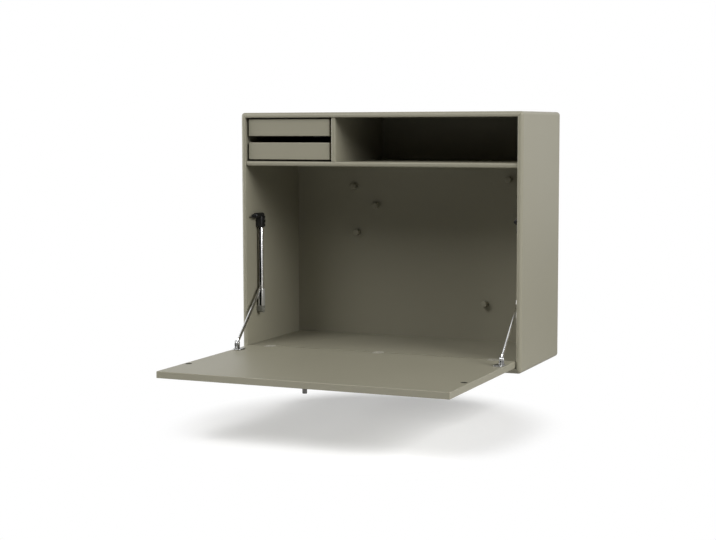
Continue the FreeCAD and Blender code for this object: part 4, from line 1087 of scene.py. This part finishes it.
class SetStage(bpy.types.Operator):
    """Set the floor, the lamps, the background and the camera"""

    bl_idname = "desk.set_stage"
    bl_label = "Stage"

    # Each lamp's setting, its bearing from the front and its rise in degrees, its width and its height
    LAMPS = (("key", 76, 26, 3.0, 2.2), ("front", -30, 42, 2.5, 2.5), ("left", -75, 12, 2.5, 2.0))

    # The floor: an oval under the desk keeps its shadow, and far off it throws back less light
    FLOOR_RADIUS, FLOOR_MIDDLE, GRAIN_SIZE = 6.0, -0.3, 0.4
    GRAIN_TONES, FAR_TONE, SEEN_TONE = (grey(0.79), grey(0.81)), grey(0.3), grey(1.22)
    OVAL_MIDDLE, OVAL_HALF, OVAL_EDGE = -0.36, (0.42, 0.46), (0.75, 1.1)
    FAR_EDGE, SHADOW_LIFT = (2.2, 3.6), 0.34

    # What is mirrored: dark in front, light behind and at the right
    FRONT_LEVEL, FRONT_EDGE, RIGHT_EDGE, SKY_EDGE = 0.03, (-0.75, 0.1), (0.3, 0.75), (0.0, 0.8)
    SENSOR, CLIP_END = 36, 50

    def execute(self, context):
        look = context.scene.desk_stage
        self.floor(look)
        self.world(context.scene, look)
        for lamp in self.LAMPS:
            self.lamp(look, *lamp)
        self.camera(context.scene, look)
        context.scene.view_settings.view_transform = "Standard"
        return {"FINISHED"}

    def floor(self, look):
        """A wide pale floor that looks white, apart from the desk's shadow."""
        mesh = bmesh.new()
        bmesh.ops.create_circle(mesh, cap_ends=True, segments=96, radius=self.FLOOR_RADIUS)
        bmesh.ops.translate(mesh, verts=mesh.verts, vec=(0, self.FLOOR_MIDDLE, look.floor))
        floor = new_object("floor", stored("floor", mesh))
        graph, place, _ = new_material("pale floor")
        x, y, _ = graph.parts(place)
        away = graph.reach(x / self.OVAL_HALF[0], (y - self.OVAL_MIDDLE) / self.OVAL_HALF[1])
        clear = graph.fade(away, *self.OVAL_EDGE)
        far = graph.fade(away, *self.FAR_EDGE)
        seen = graph.add("ShaderNodeLightPath")["Is Camera Ray"]
        pale = graph.blend(graph.noise(place, self.GRAIN_SIZE), *self.GRAIN_TONES)
        thrown = graph.blend(far, pale, self.FAR_TONE)
        colour = graph.blend(seen, thrown, self.SEEN_TONE)
        lit = graph.add("ShaderNodeBsdfDiffuse", {"Color": colour})["BSDF"]
        white = graph.add("ShaderNodeEmission", {"Color": grey(1.0), "Strength": 1.0})["Emission"]
        share = seen * (clear + (1 - clear) * self.SHADOW_LIFT)
        both = graph.add("ShaderNodeMixShader", {0: share, 1: lit, 2: white})["Shader"]
        graph.add("ShaderNodeOutputMaterial", {"Surface": both})
        floor.data.materials.append(graph.owner)

    def world(self, scene, look):
        """White where it is seen, a dark room with a light side where mirrored, and else a faint sky."""
        world = bpy.data.worlds.new("studio")
        world.use_nodes = True
        graph = Graph(world.node_tree)
        across, deep, up = graph.parts(graph.add("ShaderNodeTexCoord")["Generated"])
        path = graph.add("ShaderNodeLightPath")
        seen = path["Is Camera Ray"]
        mirrored = path["Is Glossy Ray"].most(path["Is Transmission Ray"])
        behind = graph.fade(deep, *self.FRONT_EDGE) * (1 - self.FRONT_LEVEL) + self.FRONT_LEVEL
        room = behind.most(graph.fade(across, *self.RIGHT_EDGE))
        sky = graph.fade(up, *self.SKY_EDGE) * look.fill
        level = seen + (1 - seen) * (mirrored * room + (1 - mirrored) * sky)
        light = graph.add("ShaderNodeBackground", {"Color": grey(1.0), "Strength": level})["Background"]
        graph.add("ShaderNodeOutputWorld", {"Surface": light})
        scene.world = world

    @staticmethod
    def lamp(look, setting, bearing, rise, width, height):
        """A soft lamp, set by its bearing from the desk's front and its rise, in degrees."""
        data = bpy.data.lights.new(f"{setting} lamp", "AREA")
        data.shape = "RECTANGLE"
        data.size = width
        data.size_y = height
        data.energy = getattr(look, setting)
        lamp = new_object(data.name, data)
        turn = Matrix.Rotation(math.radians(bearing), 3, "Z") @ Matrix.Rotation(math.radians(-rise), 3, "X")
        way = turn @ Vector((0, -1, 0))
        lamp.location = Vector(look.lamp_aim) + way * look.lamp_away
        lamp.rotation_euler = way.to_track_quat("Z", "Y").to_euler()

    def camera(self, scene, look):
        """The camera at the photograph's angle."""
        data = bpy.data.cameras.new("camera")
        data.sensor_width = self.SENSOR
        data.lens = look.lens
        data.clip_end = self.CLIP_END
        camera = new_object("camera", data)
        turn = Matrix.Rotation(look.yaw, 4, "Z") @ Matrix.Rotation(math.pi / 2 - look.pitch, 4, "X")
        camera.matrix_world = Matrix.Translation(look.eye) @ turn @ Matrix.Rotation(look.roll, 4, "Z")
        scene.camera = camera


LOOKS = {
    "desk_lacquer": LacquerLook,
    "desk_metal": MetalLook,
    "desk_plastic": PlasticLook,
    "desk_stage": StageLook,
}
STEPS = (
    FinishCarcass, FinishBoards, FinishTrays, FinishJoinery, FinishHinges, MakeTubes, MakeScrews,
    MakeMagnets, MakeStrikes, MakeStayHeads, MakeStayFeet, MakeStayArms, MakeFlapLugs, MakeKnob, SetStage,
)


class DeskPanel(bpy.types.Panel):
    """Lists the desk's settings and the steps that dress it"""

    bl_idname = "VIEW3D_PT_desk"
    bl_label = "Drop-flap desk"
    bl_space_type = "VIEW_3D"
    bl_region_type = "UI"
    bl_category = "Desk"

    def draw(self, context):
        for name, look in LOOKS.items():
            settings = getattr(context.scene, name)
            for label in look.__annotations__:
                self.layout.prop(settings, label)
        for step in STEPS:
            self.layout.operator(step.bl_idname)


CLASSES = (*LOOKS.values(), *STEPS, DeskPanel)


def register():
    for item in CLASSES:
        bpy.utils.register_class(item)
    for name, look in LOOKS.items():
        setattr(bpy.types.Scene, name, PointerProperty(type=look))


def unregister():
    for name in LOOKS:
        delattr(bpy.types.Scene, name)
    for item in reversed(CLASSES):
        bpy.utils.unregister_class(item)


def main():
    """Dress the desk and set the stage."""
    register()
    for step in STEPS:
        group, name = step.bl_idname.split(".")
        getattr(getattr(bpy.ops, group), name)()


if __name__ == "__main__":
    main()
